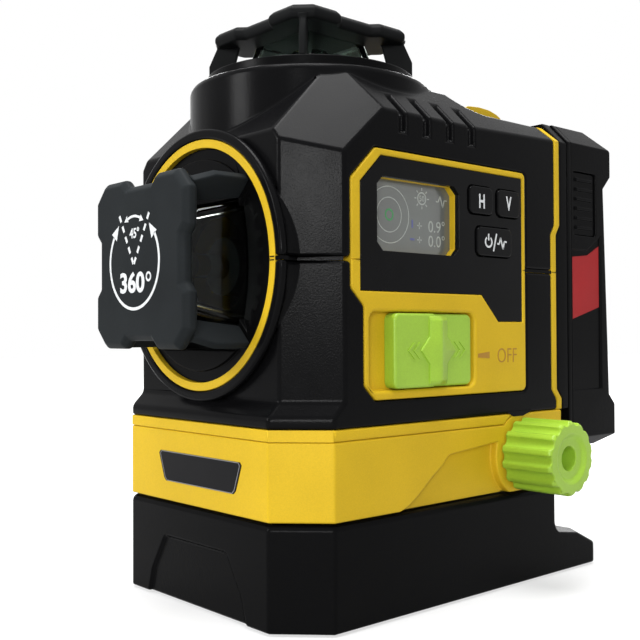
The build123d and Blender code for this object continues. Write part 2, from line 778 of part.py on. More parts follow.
def display_outline(grow):
    """Outline of the display opening with its four cut corners."""
    x0, x1 = display_x0 - grow, display_x1 + grow
    z0, z1 = seam - display_down - grow, seam + display_up + grow
    c = display_cut
    return [(x0 + c, z0), (x1 - c, z0), (x1, z0 + c), (x1, z1 - c),
            (x1 - c, z1), (x0 + c, z1), (x0, z1 - c), (x0, z0 + c)]


def display_seat(clear):
    """Outline of the display module, a border wider than its opening."""
    g = display_border + clear
    return rectangle(display_x0 - g, seam - display_down - g, display_x1 + g, seam + display_up + g)


outer_form = body_form(0, dock_end, strip_top, 0, 0)
armour_lining = body_form(armour_wall - slip, dock_end, strip_top - line, -ring_inset, -tower_shell_drop)
shell_form = body_form(armour_wall, dock_end, shell_bottom, -ring_inset, -tower_shell_drop)
cavity_form = body_form(shell_skin, dock_end + 1, floor_top, boss_radius, tower_radius)
keys = [(key_h, key_size), (key_v, key_size), (key_power, power_size)]
hump_left = step_end + hump_start
hump_right = hump_left + hump_length
hump_top = (hump_left + hump_right) / 2 - 2

with BuildPart() as neck:
    drum(side_window, boss_radius + 1, -neck_depth, -boss_rim)
    drum(side_window, boss_neck, -neck_depth, -boss_rim, Mode.SUBTRACT)
    add(body_form(0, dock_end, strip_top, -neck_depth, 0), mode=Mode.SUBTRACT)

with BuildPart() as armour:
    add(outer_form)
    add(armour_lining, mode=Mode.SUBTRACT)
    drum(side_window, boss_radius - armour_wall + slip, -boss_radius / 2, 1, Mode.SUBTRACT)
    drum(top_window, tower_radius - armour_wall + slip, -tower_shell_drop - 1, 1, Mode.SUBTRACT)
    add(neck.part, mode=Mode.SUBTRACT)
    block(front, panel_frame(-line), -armour_wall - 1, 1, Mode.SUBTRACT, frame_round)
    block(Plane.XZ, dock_edge(0, dock_end + 1), -half - 1, half + 1, Mode.SUBTRACT)
    block(Plane.XY, rectangle(hump_left, -hump_half, hump_right, hump_half),
          low_deck - armour_wall - 1, high_deck, Mode.SUBTRACT)
    z0 = eaves - vent_drop
    slope = vent_depth * (sqrt(2) - 1)
    for s in (1, -1):
        for i in range(vent_count):
            x0 = vent_start + i * vent_pitch - vent_width / 2
            edge = half - vent_depth
            inner = half - vent_run
            block(Plane.YZ, [(s * (half + 1), z0), (s * edge, z0), (s * edge, eaves - slope),
                             (s * inner, eaves - slope + edge - inner), (s * inner, high_deck + 1),
                             (s * (half + 1), high_deck + 1)], x0, x0 + vent_width, Mode.SUBTRACT)

with BuildPart() as lower_armour:
    add(armour.part)
    split(bisect_by=Plane.XY.offset(seam - seam_gap / 2), keep=Keep.BOTTOM)
save(lower_armour.part, "lower_armour")

with BuildPart() as upper_armour:
    add(armour.part)
    split(bisect_by=Plane.XY.offset(seam + seam_gap / 2), keep=Keep.TOP)
save(upper_armour.part, "upper_armour")

slot_low, slot_high = seam + slot_down, seam + slot_up
slot_mid = (slot_low + slot_high) / 2
stem_x = (slider_left + slider_right) / 2
stem_half = slider_stem / 2
keys_left = key_h[0] - key_size[0] / 2 - 2 * key_flange
keys_right = key_v[0] + key_size[0] / 2 + 1.4 * key_flange
keys_low = seam + key_power[1] - power_size[1] / 2 - 2 * key_flange
keys_high = seam + key_v[1] + key_size[1] / 2 + 2 * key_flange
window_back = -window_sink - window_sheet
key_back = window_back - line - key_flange
stem_end = -shell_skin - key_flange
board_front = stem_end - key_travel - line - dome_height
board_left = keys_left - key_board_margin
board_right = keys_right + 2 * board_boss
board_low = keys_low - line
board_high = keys_high + key_board_margin
boss_left, boss_right = board_left + board_boss, board_right - board_boss
boss_low, boss_high = keys_low + board_boss, board_high - board_boss
board_bosses = [(boss_right, boss_low), (boss_right, boss_high), (boss_left, boss_high)]

with BuildPart() as dock_rim:
    add(outer_form)
    block(Plane.XZ, dock_edge(line_width, dock_end + 1), -half - 1, half + 1, Mode.INTERSECT)

with BuildPart() as trim_line:
    add(outer_form)
    block(Plane.XZ, dock_edge(line, dock_end + 1), -half - 1, half + 1, Mode.INTERSECT)

with BuildPart() as shell:
    add(shell_form)
    block(Plane.XY, plan(left, dock_end, 0, corner_cut), shell_bottom, strip_top - line)
    add(trim_line.part)
    block(front, panel_frame(0), -shell_skin, 0, corner=frame_round)
    block(Plane.XZ, dock_edge(line_width - line, dock_end + 1), -half - 1, half + 1, Mode.SUBTRACT)
    with BuildSketch(Plane.XZ) as hump:
        with BuildLine():
            Polyline((hump_right - line, low_deck - line), (hump_right - line, low_deck - shell_skin),
                     (hump_left + line, low_deck - shell_skin), (hump_left + line, low_deck - line))
            ThreePointArc((hump_left + line, low_deck - line), (hump_top, low_deck + hump_rise),
                          (hump_right - line, low_deck - line))
        make_face()
    extrude(hump.sketch, amount=hump_half - line, both=True)
    add(cavity_form, mode=Mode.SUBTRACT)
    for point in shell_screw_points:
        drum(Plane.XY, screw_boss, seam - shell_boss, seam + shell_boss, at=point)
        drum(Plane.XY, screw_radius + line, seam - shell_boss, seam + shell_boss, Mode.SUBTRACT, at=point)
    for point in band_screw_points:
        drum(Plane.XY, screw_boss, shell_bottom, floor_top + band_boss, at=point)
        drum(Plane.XY, screw_radius + line, shell_bottom, floor_top + band_boss, Mode.SUBTRACT, at=point)
    for point in board_bosses:
        drum(front, board_boss, board_front, -armour_wall, at=point)
    block(front, window_outline(0), window_back, 1, Mode.SUBTRACT)
    block(front, display_outline(0), -display_sink, 0, Mode.SUBTRACT)
    block(front, display_seat(line), -shell_skin, -display_sink, Mode.SUBTRACT)
    block(front, rectangle(keys_left, keys_low, keys_right, keys_high), -shell_skin, 0, Mode.SUBTRACT)
    tile(front, ((slot_x0 + slot_x1) / 2, slot_mid), (slot_x1 - slot_x0, slot_high - slot_low),
         slider_round + play, -slot_sink, 1, Mode.SUBTRACT)
    stem_room = stem_half + play
    block(front, rectangle(stem_x - stem_room - slider_travel, slot_mid - stem_room,
                           stem_x + stem_room, slot_mid + stem_room), -shell_skin, 0, Mode.SUBTRACT)
    drum(front, knob_boss + line, -panel_wall - line, 1, Mode.SUBTRACT, at=(knob_x, knob_z))
    block(front, rectangle(knob_x, band_bottom, dock_end, strip_top), -panel_wall - line, 1, Mode.SUBTRACT)
    drum(Plane.XY, wire_hole, shell_bottom, floor_top, Mode.SUBTRACT)

with BuildPart() as lower_shell:
    add(shell.part)
    split(bisect_by=Plane.XY.offset(seam), keep=Keep.BOTTOM)
save(lower_shell.part, "lower_shell")

with BuildPart() as upper_shell:
    add(shell.part)
    split(bisect_by=Plane.XY.offset(seam), keep=Keep.TOP)
save(upper_shell.part, "upper_shell")

with BuildPart() as shell_screws:
    for point in shell_screw_points:
        screw(point, seam - shell_boss - screw_head_height, 2 * shell_boss - 4)
save(shell_screws.part, "shell_screws")

# Control panel
with BuildPart() as control_window:
    block(front, window_outline(line), window_back, -window_sink)
    block(front, display_outline(0), window_back, 0, Mode.SUBTRACT)
    for centre, size in keys:
        tile(front, (centre[0], seam + centre[1]), (size[0] + play, size[1] + play), key_round,
             window_back, 0, Mode.SUBTRACT)
save(control_window.part, "control_window")

with BuildPart() as display_module:
    block(front, display_seat(0), -display_sink - display_thickness, -display_sink)
save(display_module.part, "display_module")


def push_key(centre, size):
    """A key cap with its flange behind the window and a stem on to its switch."""
    place = (centre[0], seam + centre[1])
    with BuildPart() as key:
        tile(front, place, (size[0] - play, size[1] - play), key_round - play / 2, key_back, key_proud)
        chamfer(key.faces().sort_by(Axis.Y)[0].edges(), key_proud / 2)
        tile(front, place, (size[0] + key_flange, size[1] + key_flange), key_round,
             key_back, window_back - line)
        drum(front, key_stem, stem_end, key_back, at=place)
    return key.part


save(push_key(key_h, key_size), "h_button")
save(push_key(key_v, key_size), "v_button")
save(push_key(key_power, power_size), "power_button")

with BuildPart() as key_board:
    block(front, rectangle(board_left, board_low, board_right, board_high),
          board_front - board_thickness, board_front)
    for centre, size in keys:
        drum(front, key_stem, board_front, board_front + dome_height, at=(centre[0], seam + centre[1]))
save(key_board.part, "key_board")


def chevron(tip, height, reach):
    """A V-shaped mark lying on its side, its tip along X."""
    arm = reach * 1.2
    return [(tip, height), (tip + reach, height + arm), (tip + 1.9 * reach, height + arm),
            (tip + 0.9 * reach, height), (tip + 1.9 * reach, height - arm), (tip + reach, height - arm)]


grip_left = slider_left + slider_length * 0.45
grip_right = slider_left + slider_length * 0.68
with BuildPart() as lock_switch:
    slider_size = (slider_length, slot_high - slot_low - 2 * play)
    tile(front, (stem_x, slot_mid), slider_size, slider_round, line - slot_sink, -play)
    block(front, [(slider_left + 1, slot_low + play + 1), (grip_left, slot_low + play + 1),
                  (grip_left, slot_high - play - 1), (slider_left + 1, slot_high - play - 1)],
          -1, slider_step)
    block(front, [(grip_left, slot_low + play + 1), (grip_right, slot_low + play + 1),
                  (grip_right, slot_high - play - 1), (grip_left, slot_high - play - 1),
                  (grip_left - grip_bend, slot_mid)], -1, slider_ridge)
    chamfer(lock_switch.faces().sort_by(Axis.Y)[0].edges(), slider_bevel)
    block(front, chevron(slider_left + 4, slot_mid, slider_mark), slider_step, slider_step + mark_height)
    block(front, chevron(slider_right - 2, slot_mid, -slider_mark), -play, mark_height - play)
    block(front, rectangle(stem_x - stem_half, slot_mid - stem_half,
                           stem_x + stem_half, slot_mid + stem_half),
          -shell_skin - slider_tail, -slot_sink / 2)
save(lock_switch.part, "lock_switch")

# Windows


def cap_outline():
    """Square cap with cut corners and a notch in the middle of each side."""
    a = cap_side / 2
    n = cap_notch_half
    side = [(cap_cut - a, -a), (-n, -a), (cap_notch - n, cap_notch - a),
            (n - cap_notch, cap_notch - a), (n, -a), (a - cap_cut, -a)]
    points = []
    for turn in range(4):
        points += side
        side = [(-y, x) for x, y in side]
    return points


def window_cap(plane, foot):
    """The cap on its four legs, which widen towards their feet."""
    along = Axis(plane.origin, plane.z_dir)
    with BuildPart() as cap:
        block(plane, cap_outline(), cap_gap, cap_gap + cap_thickness)
        chamfer(cap.faces().sort_by(along)[-1].edges(), cap_bevel)
        chamfer(cap.faces().sort_by(along)[0].edges(), cap_under)
        for heading in (45, 135, 225, 315):
            out = plane.x_dir * cos(radians(heading)) + plane.y_dir * sin(radians(heading))
            with BuildSketch(Plane(plane.origin, x_dir=out, z_dir=out.cross(plane.z_dir))):
                Polygon((leg_inner, foot), (leg_outer, foot), (leg_outer, cap_gap - leg_shoulder),
                        (leg_outer_top, cap_gap), (leg_outer_top, cap_gap + cap_under),
                        (leg_inner_top, cap_gap + cap_under), (leg_inner_top, cap_gap), align=None)
            extrude(amount=leg_thickness / 2, both=True)
    return cap.part


def glass_seat(foot):
    """Level of the panes' lower edge under a cover's face."""
    return foot - pocket_drop - seat_depth


def glass_base(foot):
    """Half width of the panes at their lower edge."""
    return glass_head + (cap_gap - glass_seat(foot)) * tan(radians(glass_lean))


def window_glass(plane, foot):
    """Four panes that lean in from the cover's seat to the cap, moulded in one."""
    low, high = glass_seat(foot), cap_gap
    with BuildPart() as glass:
        for inset, mode in ((0, Mode.ADD), (glass_wall, Mode.SUBTRACT)):
            ends = []
            for level, reach in ((low, glass_base(foot) - inset), (high, glass_head - inset)):
                with BuildSketch(plane.offset(level), mode=Mode.PRIVATE) as pane:
                    RectangleRounded(2 * reach, 2 * reach, glass_corner)
                ends.append(pane.sketch)
            loft(ends, ruled=True, mode=mode)
    return glass.part


def light_pockets(plane, foot, chord):
    """Sloping pockets that let the light out past the cover, cut off straight at the chords."""
    low, high = foot - pocket_drop, foot + pocket_drop
    with BuildPart() as pockets:
        turned(plane, [(0, low), (glass_base(foot), low), (pocket_rim, foot), (pocket_rim, high), (0, high)])
        block(plane, rectangle(-pocket_rim, -chord, pocket_rim, chord), low, high, Mode.INTERSECT)
        with BuildSketch(plane.offset(low)) as webs:
            for heading in (45, 135):
                with Locations(Location((0, 0, 0), (0, 0, heading))):
                    Rectangle(3 * pocket_rim, leg_web)
        extrude(webs.sketch, amount=high - low, dir=plane.z_dir, mode=Mode.SUBTRACT)
    return pockets.part


def window_well(plane, foot, chord):
    """What is cut out of a cover: the pockets, the panes' seat and the opening inside them."""
    seat = glass_seat(foot)
    reach = glass_base(foot)
    with BuildPart() as well:
        add(light_pockets(plane, foot, chord))
        tile(plane, (0, 0), (2 * (reach + fit), 2 * (reach + fit)), glass_corner, seat, foot + pocket_drop)
        drum(plane, reach - 1.5 * glass_wall, seat - tower_shell_drop - 2 * cover_floor, foot)
    return well.part


side_cover_radius = boss_radius - shell_skin - fit
with BuildPart() as side_cover:
    drum(side_window, side_cover_radius, glass_seat(-side_web) - cover_floor, -side_web)
    with BuildSketch(side_window.offset(-side_web)) as plateaus:
        Circle(pocket_rim)
        Rectangle(3 * pocket_rim, 2 * plateau_chord, mode=Mode.SUBTRACT)
    extrude(plateaus.sketch, amount=side_web - side_plateau, dir=side_window.z_dir)
    add(window_well(side_window, -side_web, plateau_chord), mode=Mode.SUBTRACT)
save(side_cover.part, "side_cover")
save(window_cap(side_window, -side_web), "side_cap")
save(window_glass(side_window, -side_web), "side_glass")

with BuildPart() as top_cover:
    drum(top_window, tower_radius - shell_skin - fit, -tower_shell_drop - cover_floor, 0)
    drum(top_window, tower_radius - armour_wall - line, -tower_shell_drop, 0)
    drum(top_window, top_ring, -tower_shell_drop, top_ring_rise)
    add(window_well(top_window, top_ring_rise, pocket_rim), mode=Mode.SUBTRACT)
save(top_cover.part, "top_cover")
save(window_cap(top_window, top_ring_rise), "top_cap")
save(window_glass(top_window, top_ring_rise), "top_glass")

# Battery dock and pack
dock_face = Plane(origin=(dock_end, 0, 0), x_dir=(0, 1, 0), z_dir=(1, 0, 0))
socket_low = strip_top + socket_margin
socket_high = low_deck - socket_margin
contact_high = socket_high - board_inset
contact_low = contact_high - contact_height
spigot_bottom = floor_top + band_boss + line
spigot_form = body_form(shell_skin + line, dock_end, spigot_bottom, -boss_radius / 4, -tower_radius / 2)
post_y = socket_half - post_inset
board_points = [(y, z) for y in (-post_y, post_y) for z in (socket_low + post_low, socket_high - post_high)]

with BuildPart() as dock_block:
    add(spigot_form)
    block(Plane.YZ, rectangle(-half, 0, half, high_deck), spigot_back, spigot_back + spigot_length,
          Mode.INTERSECT)
    block(dock_face, rectangle(spigot_wall - inner_half, spigot_bottom + spigot_wall,
                               inner_half - spigot_wall, low_deck - shell_skin - 2 * spigot_wall),
          spigot_back - dock_end, 0, Mode.SUBTRACT)
    add(dock_rim.part)
    for point in board_points:
        drum(dock_face, board_boss, spigot_back - dock_end, -socket_depth, at=point)
    block(dock_face, rectangle(-socket_half, socket_low, socket_half, socket_high), -socket_depth, 0,
          Mode.SUBTRACT)
save(dock_block.part, "dock_block")

contact_ys = [-contact_pitch, 0, contact_pitch]
with BuildPart() as dock_contacts:
    for y in contact_ys:
        block(dock_face, rectangle(y - contact_width / 2, contact_low, y + contact_width / 2, contact_high),
              -socket_depth, contact_reach)
save(dock_contacts.part, "dock_contacts")

with BuildPart() as main_board:
    y0 = socket_half - board_inset
    block(dock_face, rectangle(-y0, socket_low, y0, socket_high - board_inset),
          spigot_back - dock_end - board_thickness, spigot_back - dock_end)
save(main_board.part, "main_board")

pack_x = dock_end + pack_gap
case_x = pack_x + lid_thickness
pack_bottom = band_top - pack_low
pack_top = low_deck
waist = pack_x + pack_slab
low_waist = waist + pack_draft
case_wall = pack_wall + side_panel_wall
release_x = case_x + release_start + release_length / 2
release_z = pack_top - pack_edge - release_drop - release_height / 2
panel_start = case_x + side_panel_start
panel_stop = panel_start + side_panel_length
panel_top = pack_top - side_panel_high
side_panel = [(panel_start, pack_bottom + side_panel_low), (panel_stop, pack_bottom + side_panel_low),
              (panel_stop, panel_top + side_panel_climb), (panel_start + side_panel_flat, panel_top),
              (panel_start, panel_top)]
with BuildPart() as pack_form:
    with BuildSketch(Plane.XZ):
        Polygon((pack_x, pack_bottom), (low_waist - rim_slope, pack_bottom),
                (low_waist + rim_lower, pack_bottom + rim_foot),
                (low_waist + rim_lower, pack_bottom + rim_head),
                (low_waist, pack_bottom + rim_head + rim_lower), (waist, pack_top - rim_top - rim_upper),
                (waist + rim_upper, pack_top - rim_top), (waist + rim_upper, pack_top - rim_edge),
                (waist - rim_roof, pack_top), (pack_x, pack_top), align=None)
    extrude(amount=half, both=True)
    for s in (1, -1):
        for point, normal in [((0, s * half, pack_top - pack_edge), (0, s * sqrt(0.5), sqrt(0.5))),
                              ((low_waist + rim_lower, s * (half - pack_corner), 0),
                               (sqrt(0.5), s * sqrt(0.5), 0)),
                              ((0, s * half, pack_bottom + pack_bevel), (0, s * sqrt(0.5), -sqrt(0.5)))]:
            split(bisect_by=Plane(origin=point, z_dir=normal), keep=Keep.BOTTOM)

with BuildPart() as pack_case:
    add(pack_form.part)
    split(bisect_by=Plane.YZ.offset(case_x), keep=Keep.TOP)
    block(Plane.YZ, rectangle(case_wall - half, pack_bottom + pack_wall,
                              half - case_wall, pack_top - pack_edge),
          case_x, waist - pack_wall, Mode.SUBTRACT)
    for plane, sign in ((front, 1), (back, -1)):
        tile(plane, (sign * release_x, release_z), (release_length, release_height), release_round,
             -case_wall, 0, Mode.SUBTRACT)
        block(plane, [(sign * x, z) for x, z in side_panel], -side_sink, 1, Mode.SUBTRACT)
save(pack_case.part, "pack_case")

contact_room = contact_width / 2 + play
tongue_face = play - socket_depth
with BuildPart() as pack_lid:
    add(pack_form.part)
    split(bisect_by=Plane.YZ.offset(case_x), keep=Keep.BOTTOM)
    block(dock_face, rectangle(play - socket_half, socket_low + play,
                               socket_half - play, socket_high - play),
          tongue_face, pack_gap)
    block(dock_face, rectangle(play + tongue_wall - socket_half, socket_low + play + tongue_wall,
                               socket_half - play - tongue_wall, contact_low - play - tongue_wall),
          tongue_face + tongue_wall, pack_gap + lid_thickness, Mode.SUBTRACT)
    for y in contact_ys:
        block(dock_face, rectangle(y - contact_room, contact_low - play,
                                   y + contact_room, contact_high + play),
              -socket_depth, pack_gap + lid_thickness, Mode.SUBTRACT)
save(pack_lid.part, "pack_lid")

cell_x = waist - pack_wall - cell_radius - line
with BuildPart() as battery_cells:
    for place in (-1.5, -0.5, 0.5, 1.5):
        drum(Plane.XY, cell_radius, pack_bottom + pack_wall, pack_bottom + pack_wall + cell_length,
             at=(cell_x, place * cell_pitch))
save(battery_cells.part, "battery_cells")

with BuildPart() as pack_contacts:
    for y in contact_ys:
        for s in (1, -1):
            near = y + s * (contact_width / 2 + play + line)
            far = near + s * contact_leaf
            block(dock_face, rectangle(min(near, far), contact_low, max(near, far), contact_high),
                  pack_gap + lid_thickness, contact_reach + 1)
save(pack_contacts.part, "pack_contacts")


def release_key(plane, sign):
    """A ribbed release key in the pack's side with a flange behind the wall."""
    place = (sign * release_x, release_z)
    grip = release_length * 0.36
    back_face = -case_wall - line - release_flange
    with BuildPart() as key:
        tile(plane, place, (release_length - play, release_height - play), release_round,
             back_face, -release_sink)
        for i in range(release_ribs):
            z = release_z + (i - (release_ribs - 1) / 2) * release_height * 0.9 / release_ribs
            block(plane, rectangle(place[0] - grip, z - rib_height, place[0] + grip, z + rib_height),
                  -release_sink, rib_height + line - release_sink)
        tile(plane, place, (release_length + 2 * play, release_height + 2), release_round, back_face,
             -case_wall - line)
    return key.part


save(release_key(front, 1), "release_front")
save(release_key(back, -1), "release_rear")

# Pendulum
pad_z = pivot - weight_drop - pad_gap
foot_top = floor_top + bracket_foot
pivot_y = Plane(origin=(tower_x, 0, pivot), x_dir=(1, 0, 0), z_dir=(0, 1, 0))
pivot_x = Plane(origin=(tower_x, 0, pivot), x_dir=(0, 1, 0), z_dir=(1, 0, 0))
upright_end = bracket_reach + bracket_thickness
with BuildPart() as suspension_bracket:
    x0, x1 = tower_x - bracket_width / 2, tower_x + bracket_width / 2
    block(Plane.XY, rectangle(x0, -upright_end, x1, upright_end), floor_top, foot_top)
    for s in (1, -1):
        low, high = sorted((s * bracket_reach, s * upright_end))
        block(Plane.XY, rectangle(x0, low, x1, high), floor_top, pivot + bearing_radius + bracket_head)
        drum(pivot_y, bearing_radius + fit, low, high, Mode.SUBTRACT)
    drum(Plane.XY, pad_stem + pad_collar, floor_top, pad_z - pad_disc - pad_travel - play, at=(tower_x, 0))
    drum(Plane.XY, pad_stem + slip, floor_top, pad_z, Mode.SUBTRACT, at=(tower_x, 0))
save(suspension_bracket.part, "suspension_bracket")

with BuildPart() as pivot_bearings:
    for s in (1, -1):
        low = min(s * bracket_reach, s * upright_end)
        with BuildSketch(pivot_y.offset(low)) as race:
            Circle(bearing_radius)
            Circle(pin_radius + slip, mode=Mode.SUBTRACT)
        extrude(race.sketch, amount=bracket_thickness, dir=pivot_y.z_dir)
save(pivot_bearings.part, "pivot_bearings")

with BuildPart() as damper_magnets:
    for s in (1, -1):
        drum(Plane.XY, magnet_radius, foot_top, pad_z - play, at=(tower_x, s * magnet_offset))
save(damper_magnets.part, "damper_magnets")

with BuildPart() as lock_pad:
    drum(Plane.XY, pad_disc_radius, pad_z - pad_disc, pad_z, at=(tower_x, 0))
    drum(Plane.XY, pad_stem, floor_top + pad_travel + line, pad_z, at=(tower_x, 0))
save(lock_pad.part, "lock_pad")

with BuildPart() as gimbal_ring:
    with BuildSketch(gimbal.offset(-gimbal_height / 2)):
        Circle(gimbal_outer)
        Circle(gimbal_inner, mode=Mode.SUBTRACT)
    extrude(amount=gimbal_height)
    drum(pivot_y, pin_radius + fit, -gimbal_outer, gimbal_outer, Mode.SUBTRACT)
    drum(pivot_x, pin_radius + slip, -gimbal_outer, gimbal_outer, Mode.SUBTRACT)
save(gimbal_ring.part, "gimbal_ring")

with BuildPart() as gimbal_pins:
    for s in (1, -1):
        low, high = sorted((s * (gimbal_inner + 0.5), s * (upright_end - 0.5)))
        drum(pivot_y, pin_radius, low, high)
save(gimbal_pins.part, "gimbal_pins")

tube_top = tower_top - tube_drop
nose = left + boss_inset + nose_depth
block_top = pivot - gimbal_height
block_bottom = seam - tube_radius - 5
with BuildPart() as pendulum_frame:
    drum(gimbal, hub_radius, block_top - pivot - 1, gimbal_height * 0.75)
    block(gimbal, rectangle(-pendulum_block / 2, -pendulum_block / 2,
                            pendulum_block / 2, pendulum_block / 2),
          block_bottom - pivot, block_top - pivot)
    drum(gimbal, pad_stem, weight_height - weight_drop, block_bottom - pivot + 1)
    drum(gimbal, tube_radius + fit, -tube_below, gimbal_height, Mode.SUBTRACT)
    drum(side_window, tube_radius + fit, -base_length, 0, Mode.SUBTRACT)
    drum(pivot_x, pin_radius + fit, -hub_radius, hub_radius, Mode.SUBTRACT)
save(pendulum_frame.part, "pendulum_frame")

with BuildPart() as pendulum_pins:
    for s in (1, -1):
        low, high = sorted((s * (tube_radius + 0.5), s * (gimbal_outer - 0.5)))
        drum(pivot_x, pin_radius, low, high)
save(pendulum_pins.part, "pendulum_pins")

with BuildPart() as h_laser_tube:
    drum(gimbal, tube_radius, -tube_below, tube_top - pivot)
save(h_laser_tube.part, "h_laser_tube")

def cone_lens(plane, foot):
    """The glass post whose hollow cone turns the beam out to all sides."""
    with BuildPart() as lens:
        turned(plane, [(0, foot), (cone_foot, foot), (cone_foot, foot + cone_length * 0.55),
                       (cone_rim, foot + cone_length * 0.8), (cone_rim, foot + cone_length),
                       (0, foot + cone_length - cone_rim)])
    return lens.part


save(cone_lens(top_window, tube_top - tower_top), "h_cone_lens")
v_cone_lens = cone_lens(side_window, left + boss_inset - nose)
save(v_cone_lens, "v_cone_lens")

# The side tube runs back past the pivot until it balances its front part and the lens
lens_moment = glass_density * v_cone_lens.volume * (tower_x - v_cone_lens.center(CenterOf.MASS).X)
tube_moment = tube_density * pi * tube_radius ** 2 / 2
tube_back = tower_x + sqrt((tower_x - nose) ** 2 + lens_moment / tube_moment)
with BuildPart() as v_laser_tube:
    drum(side_window, tube_radius, left + boss_inset - tube_back, left + boss_inset - nose)
save(v_laser_tube.part, "v_laser_tube")

with BuildPart() as damper_weight:
    turned(gimbal, [(0, -weight_drop), (weight_radius, weight_dish - weight_drop),
                    (weight_radius, weight_height - weight_drop), (0, weight_height - weight_drop)])
save(damper_weight.part, "damper_weight")
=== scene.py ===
"""Looks of the laser level: finishes, rounded mouldings, printed marks, studio and camera.

Metres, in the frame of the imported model. Sizes and places of pieces are millimetres, made metres by MM.
Textures, lamps, the floor and the camera's place are in metres, and angles are in degrees.
"""
import json
from math import cos, radians, sin

import bmesh
import bpy
from mathutils import Matrix, Vector


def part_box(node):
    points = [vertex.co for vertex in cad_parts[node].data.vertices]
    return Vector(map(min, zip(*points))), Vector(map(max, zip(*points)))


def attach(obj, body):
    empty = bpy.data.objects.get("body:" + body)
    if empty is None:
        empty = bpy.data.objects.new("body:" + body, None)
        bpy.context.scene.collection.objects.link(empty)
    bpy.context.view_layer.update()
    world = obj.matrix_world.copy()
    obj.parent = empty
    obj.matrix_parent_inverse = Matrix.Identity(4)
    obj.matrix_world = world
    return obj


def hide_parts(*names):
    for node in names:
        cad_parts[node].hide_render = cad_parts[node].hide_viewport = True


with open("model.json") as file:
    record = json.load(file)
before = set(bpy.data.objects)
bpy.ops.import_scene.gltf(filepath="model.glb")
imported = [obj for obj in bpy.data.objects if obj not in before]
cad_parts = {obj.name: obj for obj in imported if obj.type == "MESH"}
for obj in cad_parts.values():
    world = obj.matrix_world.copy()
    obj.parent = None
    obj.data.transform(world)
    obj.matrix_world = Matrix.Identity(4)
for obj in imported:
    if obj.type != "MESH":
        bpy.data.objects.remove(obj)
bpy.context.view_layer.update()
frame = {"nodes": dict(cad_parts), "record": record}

MM = 0.001
record = frame["record"]
node_slot = {part["node"]: part["material_slot"] for part in record["subparts"]}
node_body = {node: body for body, nodes in record["behaviour"]["bodies"].items() for node in nodes}

# Colours, linear
YELLOW = (0.67, 0.44, 0.016)
LIME = (0.33, 0.545, 0.040)
ARMOUR = (0.0040, 0.0040, 0.0044)
HOUSING = (0.0036, 0.0036, 0.0039)
SLATE = (0.0170, 0.0195, 0.0210)
# Painted shade: the caps' slate darkened for the cap on top
TOP_CAP_SHADE = (0.0095, 0.0100, 0.0103)
GLOSS = (0.0030, 0.0030, 0.0034)
PLATE = (0.008, 0.008, 0.009)
RED = (0.36, 0.017, 0.019)
CLEAR = (0.78, 0.90, 0.84)
# Painted shade: the glass of the side window darkened so the interior behind it looks shaded
SIDE_GLASS_SHADE = (0.34, 0.38, 0.36)
STEEL = (0.56, 0.56, 0.57)
BRASS = (0.70, 0.50, 0.20)
ALUMINIUM = (0.72, 0.73, 0.74)
# Painted shade: the dark colour of the metal parts inside the windows
INNER_METAL_SHADE = (0.030, 0.031, 0.034)
NYLON = (0.70, 0.69, 0.64)
RUBBER = (0.008, 0.008, 0.008)
LACQUER = (0.012, 0.10, 0.040)
LACQUER_PALE = (0.016, 0.13, 0.050)
TRACK = (0.05, 0.22, 0.10)
PRINT = (0.72, 0.74, 0.75)
# Painted highlight: the pale line along the black plate's edge
EDGE_HIGHLIGHT = (0.20, 0.20, 0.21)
# Painted shade: the yellow darkened for the marks moulded in the panel
ENGRAVING_SHADE = (0.40, 0.20, 0.012)
SCREEN_DIM = (0.115, 0.122, 0.115)
SCREEN_LIT = (0.135, 0.150, 0.138)
SCREEN_LINE = (0.42, 0.45, 0.42)
SCREEN_GREEN = (0.05, 0.30, 0.09)
SCREEN_BLUE = (0.10, 0.11, 0.30)
FLECK = (0.86, 0.86, 0.86)
FLOOR_GREY = (0.36, 0.36, 0.36)
WHITE = (1.0, 1.0, 1.0)

# Colour sockets of a Mix node, which share their names with its other sockets
MIX_FIRST, MIX_SECOND, MIX_RESULT = 6, 7, 2


# Shader helpers

